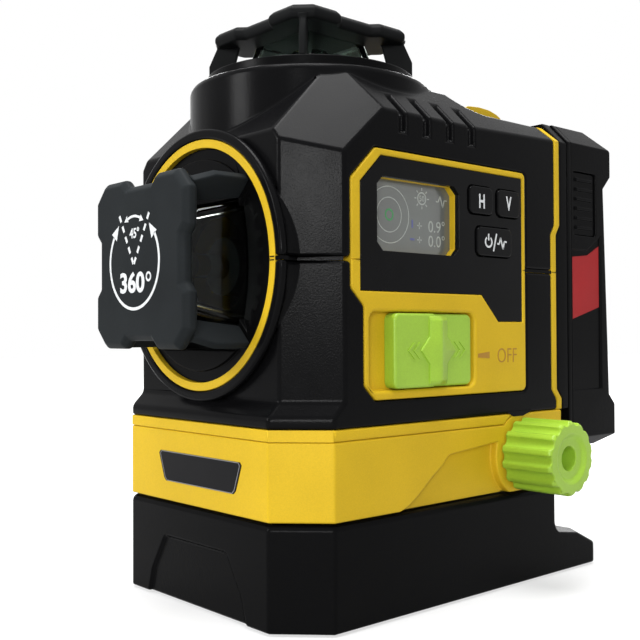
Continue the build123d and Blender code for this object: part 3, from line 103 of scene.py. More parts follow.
class Finish:
    """A procedural material in the making, around one Principled shader."""

    def __init__(self, name):
        self.material = bpy.data.materials.new(name)
        self.material.use_nodes = True
        self.nodes = self.material.node_tree.nodes
        self.links = self.material.node_tree.links
        self.shader = self.nodes["Principled BSDF"]

    def set(self, socket, value):
        """Gives a socket of the shader one value all over."""
        self.shader.inputs[socket].default_value = value

    def link(self, socket, output):
        """Feeds a socket of the shader from another node."""
        self.links.new(output, self.shader.inputs[socket])

    def noise(self, scale, detail=2.0, roughness=0.5, stretch=None):
        """Noise on object coordinates; scale is in features per metre."""
        place = self.nodes.new("ShaderNodeTexCoord").outputs["Object"]
        if stretch is not None:
            mapping = self.nodes.new("ShaderNodeMapping")
            mapping.inputs["Scale"].default_value = stretch
            self.links.new(place, mapping.inputs["Vector"])
            place = mapping.outputs["Vector"]
        texture = self.nodes.new("ShaderNodeTexNoise")
        for socket, value in (("Scale", scale), ("Detail", detail), ("Roughness", roughness)):
            texture.inputs[socket].default_value = value
        self.links.new(place, texture.inputs["Vector"])
        return texture.outputs["Fac"]

    def ramp(self, source, low, high, start=0.3, stop=0.7):
        """Maps a texture between two values or two colours."""
        if isinstance(low, tuple):
            node = self.nodes.new("ShaderNodeValToRGB")
            for element, place, colour in zip(node.color_ramp.elements, (start, stop), (low, high)):
                element.position = place
                element.color = (*colour, 1)
            self.links.new(source, node.inputs["Fac"])
            return node.outputs["Color"]
        node = self.nodes.new("ShaderNodeMapRange")
        for socket, value in (("From Min", start), ("From Max", stop), ("To Min", low), ("To Max", high)):
            node.inputs[socket].default_value = value
        self.links.new(source, node.inputs["Value"])
        return node.outputs["Result"]

    def multiplied(self, first, second, factor):
        """One colour darkened by another."""
        mix = self.nodes.new("ShaderNodeMix")
        mix.data_type = "RGBA"
        mix.blend_type = "MULTIPLY"
        mix.inputs["Factor"].default_value = factor
        self.links.new(first, mix.inputs[MIX_FIRST])
        self.links.new(second, mix.inputs[MIX_SECOND])
        return mix.outputs[MIX_RESULT]

    def bump(self, source, strength, depth, under=None):
        """Turns a texture into relief, on top of another relief where one is given."""
        node = self.nodes.new("ShaderNodeBump")
        node.inputs["Strength"].default_value = strength
        node.inputs["Distance"].default_value = depth
        self.links.new(source, node.inputs["Height"])
        if under is not None:
            self.links.new(under, node.inputs["Normal"])
        return node.outputs["Normal"]


def scaled(colour, factor):
    """A colour made darker or paler."""
    return tuple(min(1.0, value * factor) for value in colour)


# Materials

def moulded(name, colour, roughness, grain=2600.0, relief=0.25, specular=0.5, spread=0.12):
    """Moulded plastic: the grain of an eroded mould, and faint flow marks in colour, gloss and surface."""
    finish = Finish(name)
    flow = finish.noise(scale=70.0, detail=3.0)
    tint = finish.ramp(flow, scaled(colour, 1 - spread), scaled(colour, 1 + spread))
    speck = finish.noise(scale=grain, roughness=0.6)
    fleck = finish.ramp(speck, FLECK, WHITE, start=0.35, stop=0.65)
    finish.link("Base Color", finish.multiplied(tint, fleck, factor=0.6))
    sheen = finish.noise(scale=160.0)
    finish.link("Roughness", finish.ramp(sheen, roughness - 0.02, roughness + 0.02))
    finish.set("Specular IOR Level", specular)
    fine = finish.bump(speck, strength=relief, depth=0.00006)
    wave = finish.noise(scale=45.0, detail=1.0)
    finish.link("Normal", finish.bump(wave, strength=0.02, depth=0.0004, under=fine))
    return finish.material


def metal(name, colour, roughness):
    """Turned or brushed metal with fine lines and light staining."""
    finish = Finish(name)
    lines = finish.noise(scale=900.0, detail=3.0, roughness=0.6, stretch=(1.0, 1.0, 14.0))
    stain = finish.noise(scale=90.0, detail=3.0)
    finish.link("Base Color", finish.ramp(stain, scaled(colour, 0.82), colour))
    finish.link("Roughness", finish.ramp(lines, roughness - 0.08, roughness + 0.12))
    finish.link("Normal", finish.bump(lines, strength=0.12, depth=0.00003))
    finish.set("Metallic", 1.0)
    return finish.material


def glass(name, colour, mirror=1.0):
    """Clear moulded optics with a faint unevenness; mirror is the strength of its reflections."""
    finish = Finish(name)
    wave = finish.noise(scale=120.0, detail=1.0)
    finish.link("Base Color", finish.ramp(wave, scaled(colour, 0.94), colour))
    finish.link("Roughness", finish.ramp(wave, 0.02, 0.05))
    finish.link("Normal", finish.bump(wave, strength=0.02, depth=0.0002))
    finish.set("Transmission Weight", 1.0)
    finish.set("IOR", 1.46)
    finish.set("Specular Tint", (mirror, mirror, mirror, 1))
    return finish.material


def liquid_crystal(name):
    """Reflective display: grey-green panel with an uneven glow and a fine pixel grain, under glossy glass."""
    finish = Finish(name)
    glow = finish.noise(scale=60.0)
    finish.link("Base Color", finish.ramp(glow, SCREEN_DIM, SCREEN_LIT))
    pixel = finish.noise(scale=4000.0, detail=0.0)
    finish.link("Roughness", finish.ramp(pixel, 0.16, 0.24))
    finish.link("Normal", finish.bump(pixel, strength=0.03, depth=0.00002))
    finish.set("Coat Weight", 0.6)
    finish.set("Coat Roughness", 0.08)
    return finish.material


def circuit_board(name):
    """Green lacquered board with paler tracks."""
    finish = Finish(name)
    place = finish.nodes.new("ShaderNodeTexCoord")
    tracks = finish.nodes.new("ShaderNodeTexBrick")
    tracks.inputs["Scale"].default_value = 260.0
    for socket, colour in (("Color1", LACQUER), ("Color2", LACQUER_PALE), ("Mortar", TRACK)):
        tracks.inputs[socket].default_value = (*colour, 1)
    finish.links.new(place.outputs["Object"], tracks.inputs["Vector"])
    finish.link("Base Color", tracks.outputs["Color"])
    finish.link("Normal", finish.bump(tracks.outputs["Fac"], strength=0.1, depth=0.00004))
    finish.set("Roughness", 0.35)
    return finish.material


def printed(name, colour, roughness=0.55):
    """Pad print: slightly uneven ink with a fine grain. Also used for flat marks of painted shade and painted
    highlight.
    """
    finish = Finish(name)
    patch = finish.noise(scale=900.0, detail=3.0)
    finish.link("Base Color", finish.ramp(patch, scaled(colour, 0.86), scaled(colour, 1.04)))
    finish.link("Roughness", finish.ramp(patch, roughness - 0.08, roughness + 0.08))
    finish.link("Normal", finish.bump(patch, strength=0.06, depth=0.00002))
    return finish.material


finishes = {
    "black_housing": moulded("black housing", HOUSING, 0.24, grain=2400.0, relief=0.45, specular=0.025,
                             spread=0.05),
    "black_armour": moulded("black armour", ARMOUR, 0.21, grain=2400.0, relief=0.5, specular=0.032,
                            spread=0.05),
    "yellow_shell": moulded("yellow shell", YELLOW, 0.48, grain=3200.0, relief=0.16, specular=0.15,
                            spread=0.04),
    "gloss_black": moulded("gloss black", GLOSS, 0.16, grain=1400.0, relief=0.02, specular=0.07, spread=0.2),
    "lime": moulded("lime", LIME, 0.38, grain=3000.0, relief=0.12, specular=0.4, spread=0.05),
    "slate_cap": moulded("slate cap", SLATE, 0.5, relief=0.35, specular=0.025),
    "clear_glass": glass("clear glass", CLEAR),
    "display": liquid_crystal("display"),
    "steel": metal("steel", STEEL, 0.30),
    "brass": metal("brass", BRASS, 0.32),
    "aluminium": metal("aluminium", ALUMINIUM, 0.34),
    "nylon": moulded("nylon", NYLON, 0.45, spread=0.04),
    "rubber": moulded("rubber", RUBBER, 0.82, relief=0.5, specular=0.1),
    "board": circuit_board("board"),
}
white_print = printed("white print", PRINT)
edge_highlight = printed("painted edge highlight", EDGE_HIGHLIGHT)
engraving_shade = printed("engraving_shade", ENGRAVING_SHADE, 0.6)
plate_black = moulded("plate black", PLATE, 0.42, relief=0.1, specular=0.05)
red_label = moulded("red label", RED, 0.5, relief=0.12, specular=0.15, spread=0.06)
screen_line = printed("screen line", SCREEN_LINE, 0.4)
screen_green = printed("screen green", SCREEN_GREEN, 0.4)
screen_blue = printed("screen blue", SCREEN_BLUE, 0.4)

# Nodes that look different from the rest of their slot. The metal parts inside the windows are near-black:
# painted shade of the interior
inner_metal_shade = metal("inner metal with painted shade", INNER_METAL_SHADE, 0.42)
node_finish = {node: finishes[slot] for node, slot in node_slot.items()}
for node in ("h_laser_tube", "v_laser_tube", "pendulum_frame", "gimbal_ring"):
    node_finish[node] = inner_metal_shade
# The cap on top is the same slate as the side cap; its darker colour is painted shade
node_finish["top_cap"] = moulded("top cap shade", TOP_CAP_SHADE, 0.5, relief=0.35, specular=0.025)
# The side window's glass is darkened as painted shade of the interior, and reflects less
node_finish["side_glass"] = glass("side glass with painted shade", SIDE_GLASS_SHADE, mirror=0.3)
for node, part in frame["nodes"].items():
    part.data.materials.clear()
    part.data.materials.append(node_finish[node])


# Mesh helpers

def as_mesh(name, shape):
    """Writes a shape to a new mesh and frees it."""
    mesh = bpy.data.meshes.new(name)
    shape.to_mesh(mesh)
    shape.free()
    return mesh


def add_object(name, mesh, body, material):
    """Links a mesh as a piece that rides on a body."""
    piece = bpy.data.objects.new(name, mesh)
    bpy.context.scene.collection.objects.link(piece)
    mesh.materials.append(material)
    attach(piece, body)
    return piece


def rounded(shape, edges, width, segments=2):
    """Bevels edges to a width in millimetres."""
    bmesh.ops.bevel(shape, geom=edges, offset=width * MM, offset_type="OFFSET", segments=segments,
                    profile=0.5, affect="EDGES", clamp_overlap=False)


def extruded(shape, face, offset):
    """Draws a face out by an offset in millimetres."""
    raised = bmesh.ops.extrude_face_region(shape, geom=[face])
    moved = [item for item in raised["geom"] if isinstance(item, bmesh.types.BMVert)]
    bmesh.ops.translate(shape, verts=moved, vec=Vector(offset) * MM)


# Rounded mouldings: each stands for a solid, and some are reshaped a little
WELD = 0.002            # points closer than this are joined
SLIVER = 0.0005         # edges shorter than this are removed
FLAT_ANGLE = 0.4        # faces this close to one plane become one
SHARP_ANGLE = 26.0      # edges past this angle are rounded
CREASE_ANGLE = 40.0     # edges past this angle stay hard in the shading
INNER_AREA = 100.0      # larger faces, in square millimetres, can be inner walls
FACING = 0.5            # share of a normal that counts as looking inwards
NEAR = 0.05             # how closely a place has to be met
FRONT_DEPTH = 0.02      # how far behind the foremost point the front face may lie
EDGE_ROUNDS = {
    "upper_armour": 0.8, "lower_armour": 0.8, "lower_housing": 0.5, "base_housing": 0.7, "lower_shell": 0.2,
    "upper_shell": 0.12, "pack_case": 0.28, "pack_lid": 0.25, "dock_block": 0.4, "side_cap": 0.45,
    "top_cap": 0.45, "side_cover": 0.3, "top_cover": 0.3, "fine_knob": 0.35, "h_button": 0.15,
    "v_button": 0.15, "power_button": 0.15, "control_window": 0.12, "release_front": 0.25,
    "release_rear": 0.25,
}
FRONT_ROUNDS = {"upper_shell": 0.45, "lower_shell": 0.45}

# Slot of the lock slider: its rim is rounded more, and lies within these margins round the slider's box
grip_low, grip_high = (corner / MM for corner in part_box("lock_switch"))
SLOT_ROUND = 0.9
SLOT_STEPS = 4
SLOT_LEFT = 6.0
SLOT_RIGHT = 2.0
SLOT_OVER = 0.6

# Pack's waist: the edge above its foot, at this x and z, is drawn in and up
WAIST_X = 78.6
WAIST_Z = 48.9
WAIST_TUCK = 1.6

# Flat top of the pack and its dock: it stands higher
CROWNED = ("dock_block", "pack_case", "pack_lid")
CROWN = 1.5
crown_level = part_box("pack_case")[1].z / MM - NEAR

# Foot of the chamfer beside that top: it rises from the armour's end on, where it lies between two levels
SHOULDERED = ("upper_armour", "upper_shell", *CROWNED)
SHOULDER = 1.2
SHOULDER_LOW = 123.0
SHOULDER_HIGH = 124.6
SHOULDER_MARGIN = 0.1
shoulder_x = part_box("upper_armour")[1].x / MM - SHOULDER_MARGIN
shoulder_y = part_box("pack_case")[1].y / MM - SHOULDER_MARGIN

# Roof hump of the shell: points above its foot follow a line in x and z, and spread a little from its middle
HUMP = ((28.0, 132.7), (28.6, 134.0), (29.8, 134.6), (34.0, 135.0), (38.0, 134.8), (41.0, 134.0),
        (42.6, 133.1), (43.4, 131.6))
HUMP_START = HUMP[0][0]
HUMP_STOP = HUMP[-1][0]
HUMP_FOOT = 129.9
HUMP_SPREAD = 0.17


def hump_height(x):
    """Height of the hump's line at a place along x."""
    ahead = next(i for i, point in enumerate(HUMP) if point[0] >= x)
    (x0, z0), (x1, z1) = HUMP[ahead - 1:ahead + 1]
    return z0 + (z1 - z0) * (x - x0) / (x1 - x0)


def reshape(node, shape):
    """Moves the points of a solid where the finished piece has a slightly different form."""
    for vert in shape.verts:
        x, y, z = (value / MM for value in vert.co)
        if node == "pack_case" and abs(x - WAIST_X) < NEAR and abs(z - WAIST_Z) < NEAR:
            vert.co += Vector((-WAIST_TUCK, 0, WAIST_TUCK)) * MM
        beside_top = x > shoulder_x and abs(y) > shoulder_y
        if node in SHOULDERED and beside_top and SHOULDER_LOW < z < SHOULDER_HIGH:
            vert.co.z += SHOULDER * MM
        if node in CROWNED and z > crown_level:
            vert.co.z += CROWN * MM
        if node == "upper_shell" and HUMP_START < x < HUMP_STOP and z > HUMP_FOOT:
            vert.co.z = hump_height(x) * MM
            vert.co.x += HUMP_SPREAD * (x - (HUMP_START + HUMP_STOP) / 2) * MM


def in_slot(vert):
    """True for a point on the rim of the lock slider's slot."""
    x, z = vert.co.x / MM, vert.co.z / MM
    across = grip_low.x - SLOT_LEFT < x < grip_high.x + SLOT_RIGHT
    return across and grip_low.z - SLOT_OVER < z < grip_high.z + SLOT_OVER


def inner_wall(face):
    """True for a large face that looks towards the middle of the object; its edges stay sharp."""
    y = face.calc_center_median().y
    return face.calc_area() > INNER_AREA * MM * MM and face.normal.y * y < -FACING * abs(y)


def round_front(shape, sharp, width):
    """Rounds the edges in the front face, the slot's rim by more; returns the sharp edges that are left."""
    front_y = min(vert.co.y for vert in shape.verts) + FRONT_DEPTH * MM
    front = [edge for edge in sharp if max(vert.co.y for vert in edge.verts) < front_y]
    slot_rim = [edge for edge in front if all(in_slot(vert) for vert in edge.verts)]
    others = [edge for edge in front if edge not in slot_rim]
    left = [edge for edge in sharp if edge not in front]
    rounded(shape, slot_rim, SLOT_ROUND, SLOT_STEPS)
    rounded(shape, [edge for edge in others if edge.is_valid], width)
    return [edge for edge in left if edge.is_valid]


def dressed_piece(node, shape):
    """Turns a finished shape into the piece that stands for a node."""
    bmesh.ops.dissolve_degenerate(shape, dist=SLIVER * MM, edges=shape.edges)
    mesh = as_mesh("rounded_" + node, shape)
    mesh.shade_smooth()
    mesh.set_sharp_from_angle(angle=radians(CREASE_ANGLE))
    piece = add_object("rounded_" + node, mesh, node_body[node], node_finish[node])
    weighted = piece.modifiers.new("flat faces", "WEIGHTED_NORMAL")
    weighted.keep_sharp = True
    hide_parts(node)


def dressed(node, width, front):
    """A moulding for a solid: welded, flat faces joined, reshaped, and sharp edges rounded."""
    shape = bmesh.new()
    shape.from_mesh(frame["nodes"][node].data)
    bmesh.ops.remove_doubles(shape, verts=shape.verts, dist=WELD * MM)
    bmesh.ops.dissolve_limit(shape, angle_limit=radians(FLAT_ANGLE), verts=shape.verts, edges=shape.edges)
    reshape(node, shape)
    sharp = [edge for edge in shape.edges
             if edge.is_manifold and edge.calc_face_angle(0) > radians(SHARP_ANGLE)
             and not any(inner_wall(face) for face in edge.link_faces)]
    if front > 0:
        sharp = round_front(shape, sharp, front)
    rounded(shape, sharp, width)
    dressed_piece(node, shape)


for node, width in EDGE_ROUNDS.items():
    dressed(node, width, FRONT_ROUNDS.get(node, 0.0))


# Lock slider: heights are above the panel's face, and the left edge stands in from the solid's
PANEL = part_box("lower_shell")[0].y / MM
GRIP_INSET = 2.0
GRIP_LEFT = grip_low.x + GRIP_INSET
GRIP_RIGHT = grip_high.x
GRIP_MIDDLE = (grip_low.z + grip_high.z) / 2
GRIP_BACK = -2.4
GRIP_PAD = 1.1
GRIP_STEP = -0.2
GRIP_CREST = 2.8
GRIP_CORNER = 1.8
GRIP_RIM = 0.7
GRIP_SEGMENTS = 6
GRIP_SIDE = 0.9         # share of a normal that counts as looking sideways
STEM_LEFT = -8.6
STEM_RIGHT = -0.6

# Ridge on the slider: its feet and crest in x, and the levels in z where its section changes
RIDGE_LEFT = -6.4
RIDGE_RIGHT = 1.6
CREST_LEFT = -3.9
CREST_RIGHT = -3.1
RIDGE_POINT = 3.2
RIDGE_KERB = 0.35
RIDGE_ROOT = 0.2
RIDGE_END = 0.6
RIDGE_FULL = 1.7
RIDGE_BEND = 3.4
END_KERB = 0.035
END_CREST = 1.9
RIDGE_ROUND = 0.2
RIDGE_ANGLE = 20.0


def skin(rows):
    """A closed shape through rows of points in millimetres: a z, then x and height above the panel's face."""
    shape = bmesh.new()
    loops = []
    for z, row in rows:
        loops.append([shape.verts.new((x * MM, (PANEL - height) * MM, z * MM)) for x, height in row])
    count = len(loops[0])
    walls = [[shape.faces.new((first[i - 1], first[i], second[i], second[i - 1])) for i in range(count)]
             for first, second in zip(loops, loops[1:])]
    ends = [shape.faces.new(loop) for loop in (loops[0], loops[-1])]
    bmesh.ops.recalc_face_normals(shape, faces=shape.faces)
    return shape, walls, ends


def lock_slider():
    """The slider's pad with a lower step at the right, and its stem."""
    row = [(GRIP_LEFT, GRIP_BACK), (GRIP_LEFT, GRIP_PAD), (CREST_LEFT, GRIP_PAD), (CREST_LEFT, GRIP_STEP),
           (GRIP_RIGHT, GRIP_STEP), (GRIP_RIGHT, GRIP_BACK), (STEM_RIGHT, GRIP_BACK), (STEM_LEFT, GRIP_BACK)]
    half = (STEM_RIGHT - STEM_LEFT) / 2
    levels = (grip_low.z, GRIP_MIDDLE - half, GRIP_MIDDLE + half, grip_high.z)
    shape, walls, ends = skin([(z, row) for z in levels])
    stem_root = walls[1][-1]
    extruded(shape, stem_root, (0, grip_high.y - PANEL + GRIP_BACK, 0))
    bmesh.ops.delete(shape, geom=[stem_root], context="FACES_ONLY")
    corners = [edge for edge in shape.edges if any(face in ends for face in edge.link_faces)
               and any(abs(face.normal.x) > GRIP_SIDE for face in edge.link_faces)
               and max(abs(vert.co.x / MM - CREST_LEFT) for vert in edge.verts) > NEAR]
    rounded(shape, corners, GRIP_CORNER, GRIP_SEGMENTS)
    back_y = (PANEL - GRIP_BACK - NEAR) * MM
    rim = [edge for edge in shape.edges if edge.is_convex and edge.calc_face_angle(0) > radians(CREASE_ANGLE)
           and max(vert.co.y for vert in edge.verts) < back_y]
    rounded(shape, rim, GRIP_RIM, GRIP_SEGMENTS)
    dressed_piece("lock_switch", shape)


def ridge_section(point, kerb, crest):
    """The ridge's outline at one level: its feet wider by point, and the heights of its kerbs and crest."""
    left, right = RIDGE_LEFT - point, RIDGE_RIGHT + point
    return [(left, GRIP_PAD - RIDGE_ROOT), (left, GRIP_PAD + kerb), (CREST_LEFT, crest), (CREST_RIGHT, crest),
            (right, GRIP_STEP + kerb), (right, GRIP_STEP - RIDGE_ROOT)]


def lock_ridge():
    """The slider's ridge: sloped on both sides, with a point at half height and lower ends."""
    end = ridge_section(0, END_KERB, END_CREST)
    full = ridge_section(0, RIDGE_KERB, GRIP_CREST)
    pointed = ridge_section(RIDGE_POINT, RIDGE_KERB, GRIP_CREST)
    rows = [
        (grip_low.z + RIDGE_END, end), (grip_low.z + RIDGE_FULL, full), (GRIP_MIDDLE - RIDGE_BEND, full),
        (GRIP_MIDDLE, pointed),
        (GRIP_MIDDLE + RIDGE_BEND, full), (grip_high.z - RIDGE_FULL, full), (grip_high.z - RIDGE_END, end),
    ]
    shape = skin(rows)[0]
    edges = [edge for edge in shape.edges
             if edge.is_convex and edge.calc_face_angle(0) > radians(RIDGE_ANGLE)
             and all(vert.co.y / MM < PANEL - GRIP_PAD for vert in edge.verts)]
    rounded(shape, edges, RIDGE_ROUND)
    mesh = as_mesh("lock_ridge", shape)
    mesh.shade_smooth()
    mesh.set_sharp_from_angle(angle=radians(RIDGE_ANGLE))
    add_object("lock_ridge", mesh, node_body["lock_switch"], finishes["lime"])


lock_slider()
lock_ridge()


# Flat marks: outlines drawn on a face in millimetres from the swivel axis and the floor
RING_STEPS = 48
LETTER_STEPS = 4
LETTER_HALF = 0.5


class Face:
    """A flat place on the object: local right, up and out, the body of what is drawn on it, and a slot that
    is not used.
    """

    def __init__(self, origin, right, out, body, slot):
        self.origin = Vector(origin)
        self.right = Vector(right)
        self.out = Vector(out)
        self.up = self.out.cross(self.right)
        self.body = body
        self.slot = slot

    def matrix(self, x=0.0, y=0.0, lift=0.0):
        """Placement of a piece drawn in its own XY plane."""
        place = self.origin + (self.right * x + self.up * y + self.out * lift) * MM
        turn = Matrix((self.right, self.up, self.out)).transposed()
        return Matrix.Translation(place) @ turn.to_4x4()


def front_face(node, body, slot):
    """The face in front of a node, drawn on in x and z."""
    return Face((0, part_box(node)[0].y, 0), (1, 0, 0), (0, -1, 0), body, slot)


def left_face(node, body, slot):
    """The face at the left of a node, drawn on in -y and z."""
    return Face((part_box(node)[0].x, 0, 0), (0, -1, 0), (-1, 0, 0), body, slot)


def around(centre, radius, angle):
    """A point on a circle."""
    return centre[0] + radius * cos(radians(angle)), centre[1] + radius * sin(radians(angle))


def plate(name, face, outlines, thickness, material, lift=0.0, rings=()):
    """Thin raised shapes on a face, each from its outline, and rings of (centre, radius, width)."""
    shape = bmesh.new()
    for centre, radius, width in rings:
        outer, inner = radius + width / 2, radius - width / 2
        loops = []
        for reach, level in ((outer, 0), (outer, thickness), (inner, thickness), (inner, 0)):
            points = [around(centre, reach, 360 * i / RING_STEPS) for i in range(RING_STEPS)]
            loops.append([shape.verts.new((x * MM, y * MM, level * MM)) for x, y in points])
        for first, second in zip(loops, loops[1:] + loops[:1]):
            for i in range(RING_STEPS):
                shape.faces.new((first[i - 1], first[i], second[i], second[i - 1]))
    for outline in outlines:
        bottom = shape.faces.new([shape.verts.new((x * MM, y * MM, 0)) for x, y in outline])
        extruded(shape, bottom, (0, 0, thickness))
    bmesh.ops.recalc_face_normals(shape, faces=shape.faces)
    mesh = as_mesh(name, shape)
    mesh.transform(face.matrix(lift=lift))
    add_object(name, mesh, face.body, material)


def rectangle(left, bottom, right, top):
    """Outline of a rectangle."""
    return [(left, bottom), (right, bottom), (right, top), (left, top)]


def arc_band(centre, radius, width, start, stop, steps):
    """Outline of an arc with a width; angles are from local right."""
    angles = [start + (stop - start) * i / steps for i in range(steps + 1)]
    outer = [around(centre, radius + width / 2, angle) for angle in angles]
    inner = [around(centre, radius - width / 2, angle) for angle in angles]
    return outer + inner[::-1]


def stroke(start, stop, width):
    """Outline of a straight line with a width."""
    a, b = Vector(start), Vector(stop)
    side = Vector((a.y - b.y, b.x - a.x)).normalized() * width / 2
    return [tuple(p) for p in (a + side, a - side, b - side, b + side)]


def zigzag(points, width):
    """Outlines of a bent line."""
    return [stroke(a, b, width) for a, b in zip(points, points[1:])]


def dashes(start, stop, width, count, share):
    """Outlines of a dashed line; share is where a dash starts and stops in its part of the line."""
    start, run = Vector(start), Vector(stop) - Vector(start)
    return [stroke(start + run * (i + share[0]) / count, start + run * (i + share[1]) / count, width)
            for i in range(count)]


def head(tip, heading, length, half):
    """Outline of an arrow head, with half its width."""
    along = Vector(around((0, 0), 1, heading))
    side = Vector((-along.y, along.x))
    back = Vector(tip) - along * length
    return [tuple(tip), tuple(back + side * half), tuple(back - side * half)]


def lettering(name, text, face, thickness, material, centre, width, height, weight=0.0):
    """Generic letters or digits, raised on a face and centred on a place."""
    curve = bpy.data.curves.new(name, "FONT")
    curve.body = text
    curve.align_x = "CENTER"
    curve.align_y = "CENTER"
    curve.size = 1.0
    curve.offset = weight
    curve.resolution_u = LETTER_STEPS
    curve.extrude = LETTER_HALF
    maker = bpy.data.objects.new(name + "_curve", curve)
    bpy.context.scene.collection.objects.link(maker)
    bpy.context.view_layer.update()
    mesh = bpy.data.meshes.new_from_object(maker.evaluated_get(bpy.context.evaluated_depsgraph_get()))
    bpy.data.objects.remove(maker)
    bpy.data.curves.remove(curve)
    mesh.name = name
    xs = [vert.co.x for vert in mesh.vertices]
    ys = [vert.co.y for vert in mesh.vertices]
    wide = width * MM / (max(xs) - min(xs))
    tall = height * MM / (max(ys) - min(ys))
    middle = Vector(((max(xs) + min(xs)) / 2, (max(ys) + min(ys)) / 2, -LETTER_HALF))
    mesh.transform(Matrix.Diagonal((wide, tall, thickness * MM, 1)) @ Matrix.Translation(-middle))
    mesh.transform(face.matrix(*centre))
    mesh.materials.clear()
    add_object(name, mesh, face.body, material)


# Print on the side cap: an open dial, a dashed angle with its span, and their figures
INK = 0.05
RAY_INK = 0.8 * INK
RAY_FOOT = (-1.6, 86.3)
RAY_ENDS = ((-8.8, 99.6), (6.0, 99.3))
DIAL_HEAD = {"length": 3.6, "half": 1.45}
SPAN_HEAD = {"length": 1.7, "half": 0.85}
DEGREE_RING = ((5.2, 83.2), 0.95, 0.5)
cap_face = left_face("side_cap", "housing", "slate_cap")
dial = [
    arc_band((-1.5, 87.0), radius=11.4, width=0.75, start=145.5, stop=395.0, steps=72),
    head((-8.6, 96.4), heading=52, **DIAL_HEAD),
    head((5.5, 96.0), heading=128, **DIAL_HEAD),
    arc_band((-1.55, 91.0), radius=7.2, width=0.6, start=66.5, stop=112.0, steps=20),
    head((-5.9, 97.0), heading=205, **SPAN_HEAD),
    head((2.9, 96.8), heading=-25, **SPAN_HEAD),
]
plate("dial_print", cap_face, dial, INK, white_print)
rays = [dash for end in RAY_ENDS for dash in dashes(RAY_FOOT, end, width=0.8, count=5, share=(0.1, 0.68))]
plate("ray_print", cap_face, rays, RAY_INK, white_print)
lettering("angle_print", "45°", cap_face, INK, white_print, (-1.25, 94.1), width=4.4, height=2.6,
          weight=0.02)
lettering("turn_print", "360", cap_face, INK, white_print, (-2.3, 82.05), width=11.4, height=5.2,
          weight=0.03)
plate("degree_print", cap_face, [], INK, white_print, rings=[DEGREE_RING])

# Raised arrows on the lock slider, two on either side of the ridge: their tips in x, way and height
ARROW_REACH = 2.2
ARROW_ARM = 2.1
ARROW_LINE = 0.85
ARROW_RAISE = 0.2
ARROWS = {"left_arrows": ((-14.1, -12.2), 1, GRIP_PAD), "right_arrows": ((9.5, 7.5), -1, GRIP_STEP)}


def arrow(tip, way):
    """Outline of a V on its side at the slider's half height; it opens to the right where way is 1."""
    far, line = tip + ARROW_REACH * way, ARROW_LINE * way
    low, high = GRIP_MIDDLE - ARROW_ARM, GRIP_MIDDLE + ARROW_ARM
    return [(tip, GRIP_MIDDLE), (far, high), (far + line, high), (tip + line, GRIP_MIDDLE), (far + line, low),
            (far, low)]


slider_face = front_face("lower_shell", node_body["lock_switch"], "lime")
for name, (tips, way, height) in ARROWS.items():
    plate(name, slider_face, [arrow(tip, way) for tip in tips], ARROW_RAISE, finishes["lime"], lift=height)

# Dark cord in the seam between the two armour halves, just under their surface, along these lines in plan
CORDS = {
    "cord_front": ((34.2, -41.0), (51.0, -41.0)),
    "cord_front_corner": ((-44.6, -30.3), (-34.2, -40.7)),
    "cord_back_corner": ((-34.2, 40.7), (-44.6, 30.3)),
    "cord_back": ((51.0, 41.0), (-33.6, 41.0)),
    "cord_front_rim": ((-47.3, -34.5), (-45.2, -34.5)),
    "cord_front_neck": ((-45.4, -33.2), (-41.5, -33.2)),
    "cord_front_face": ((-47.6, -31.9), (-47.6, -34.0)),
    "cord_back_face": ((-47.6, 34.0), (-47.6, 31.9)),
    "cord_back_rim": ((-45.2, 34.5), (-47.3, 34.5)),
    "cord_back_neck": ((-41.5, 33.2), (-45.4, 33.2)),
}
CORD_SINK = 0.5
CORD_DEPTH = 0.2
CORD_LOW = 0.95         # how far its lower edge lies below the upper half
CORD_HIGH = 0.05        # how far its upper edge does
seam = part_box("upper_armour")[0].z / MM
for name, (start, stop) in CORDS.items():
    run = Vector(stop) - Vector(start)
    along = run.normalized()
    cord_face = Face((start[0] * MM, start[1] * MM, 0), (along.x, along.y, 0), (along.y, -along.x, 0),
                     "housing", "black_armour")
    outline = rectangle(0, seam - CORD_LOW, run.length, seam - CORD_HIGH)
    plate(name, cord_face, [outline], CORD_DEPTH, finishes["black_armour"], lift=-CORD_SINK)

# Lines where the seam crosses the yellow ring at the left, two on either side
RING_INNER = 29.9
RING_OUTER = 31.6
RING_LINE_HALF = 0.15
RING_LINE_DEPTH = 0.04
RING_LINE_DROPS = (0.9, 0.1)
ring_face = left_face("upper_shell", "housing", "gloss_black")
ring_lines = [rectangle(side * RING_INNER, z - RING_LINE_HALF, side * RING_OUTER, z + RING_LINE_HALF)
              for side in (1, -1) for z in (seam - drop for drop in RING_LINE_DROPS)]
plate("ring_seams", ring_face, ring_lines, RING_LINE_DEPTH, plate_black)

# Tab of the armour above the fine knob
KNOB_TAB = [(26.0, 47.9), (27.0, 47.3), (28.9, 46.45), (33.2, 46.45), (36.0, 47.3), (37.0, 47.9)]
TAB_RAISE = 0.08
tab_face = front_face("lower_shell", "housing", "black_armour")
plate("knob_tab", tab_face, [KNOB_TAB], TAB_RAISE, finishes["black_armour"])

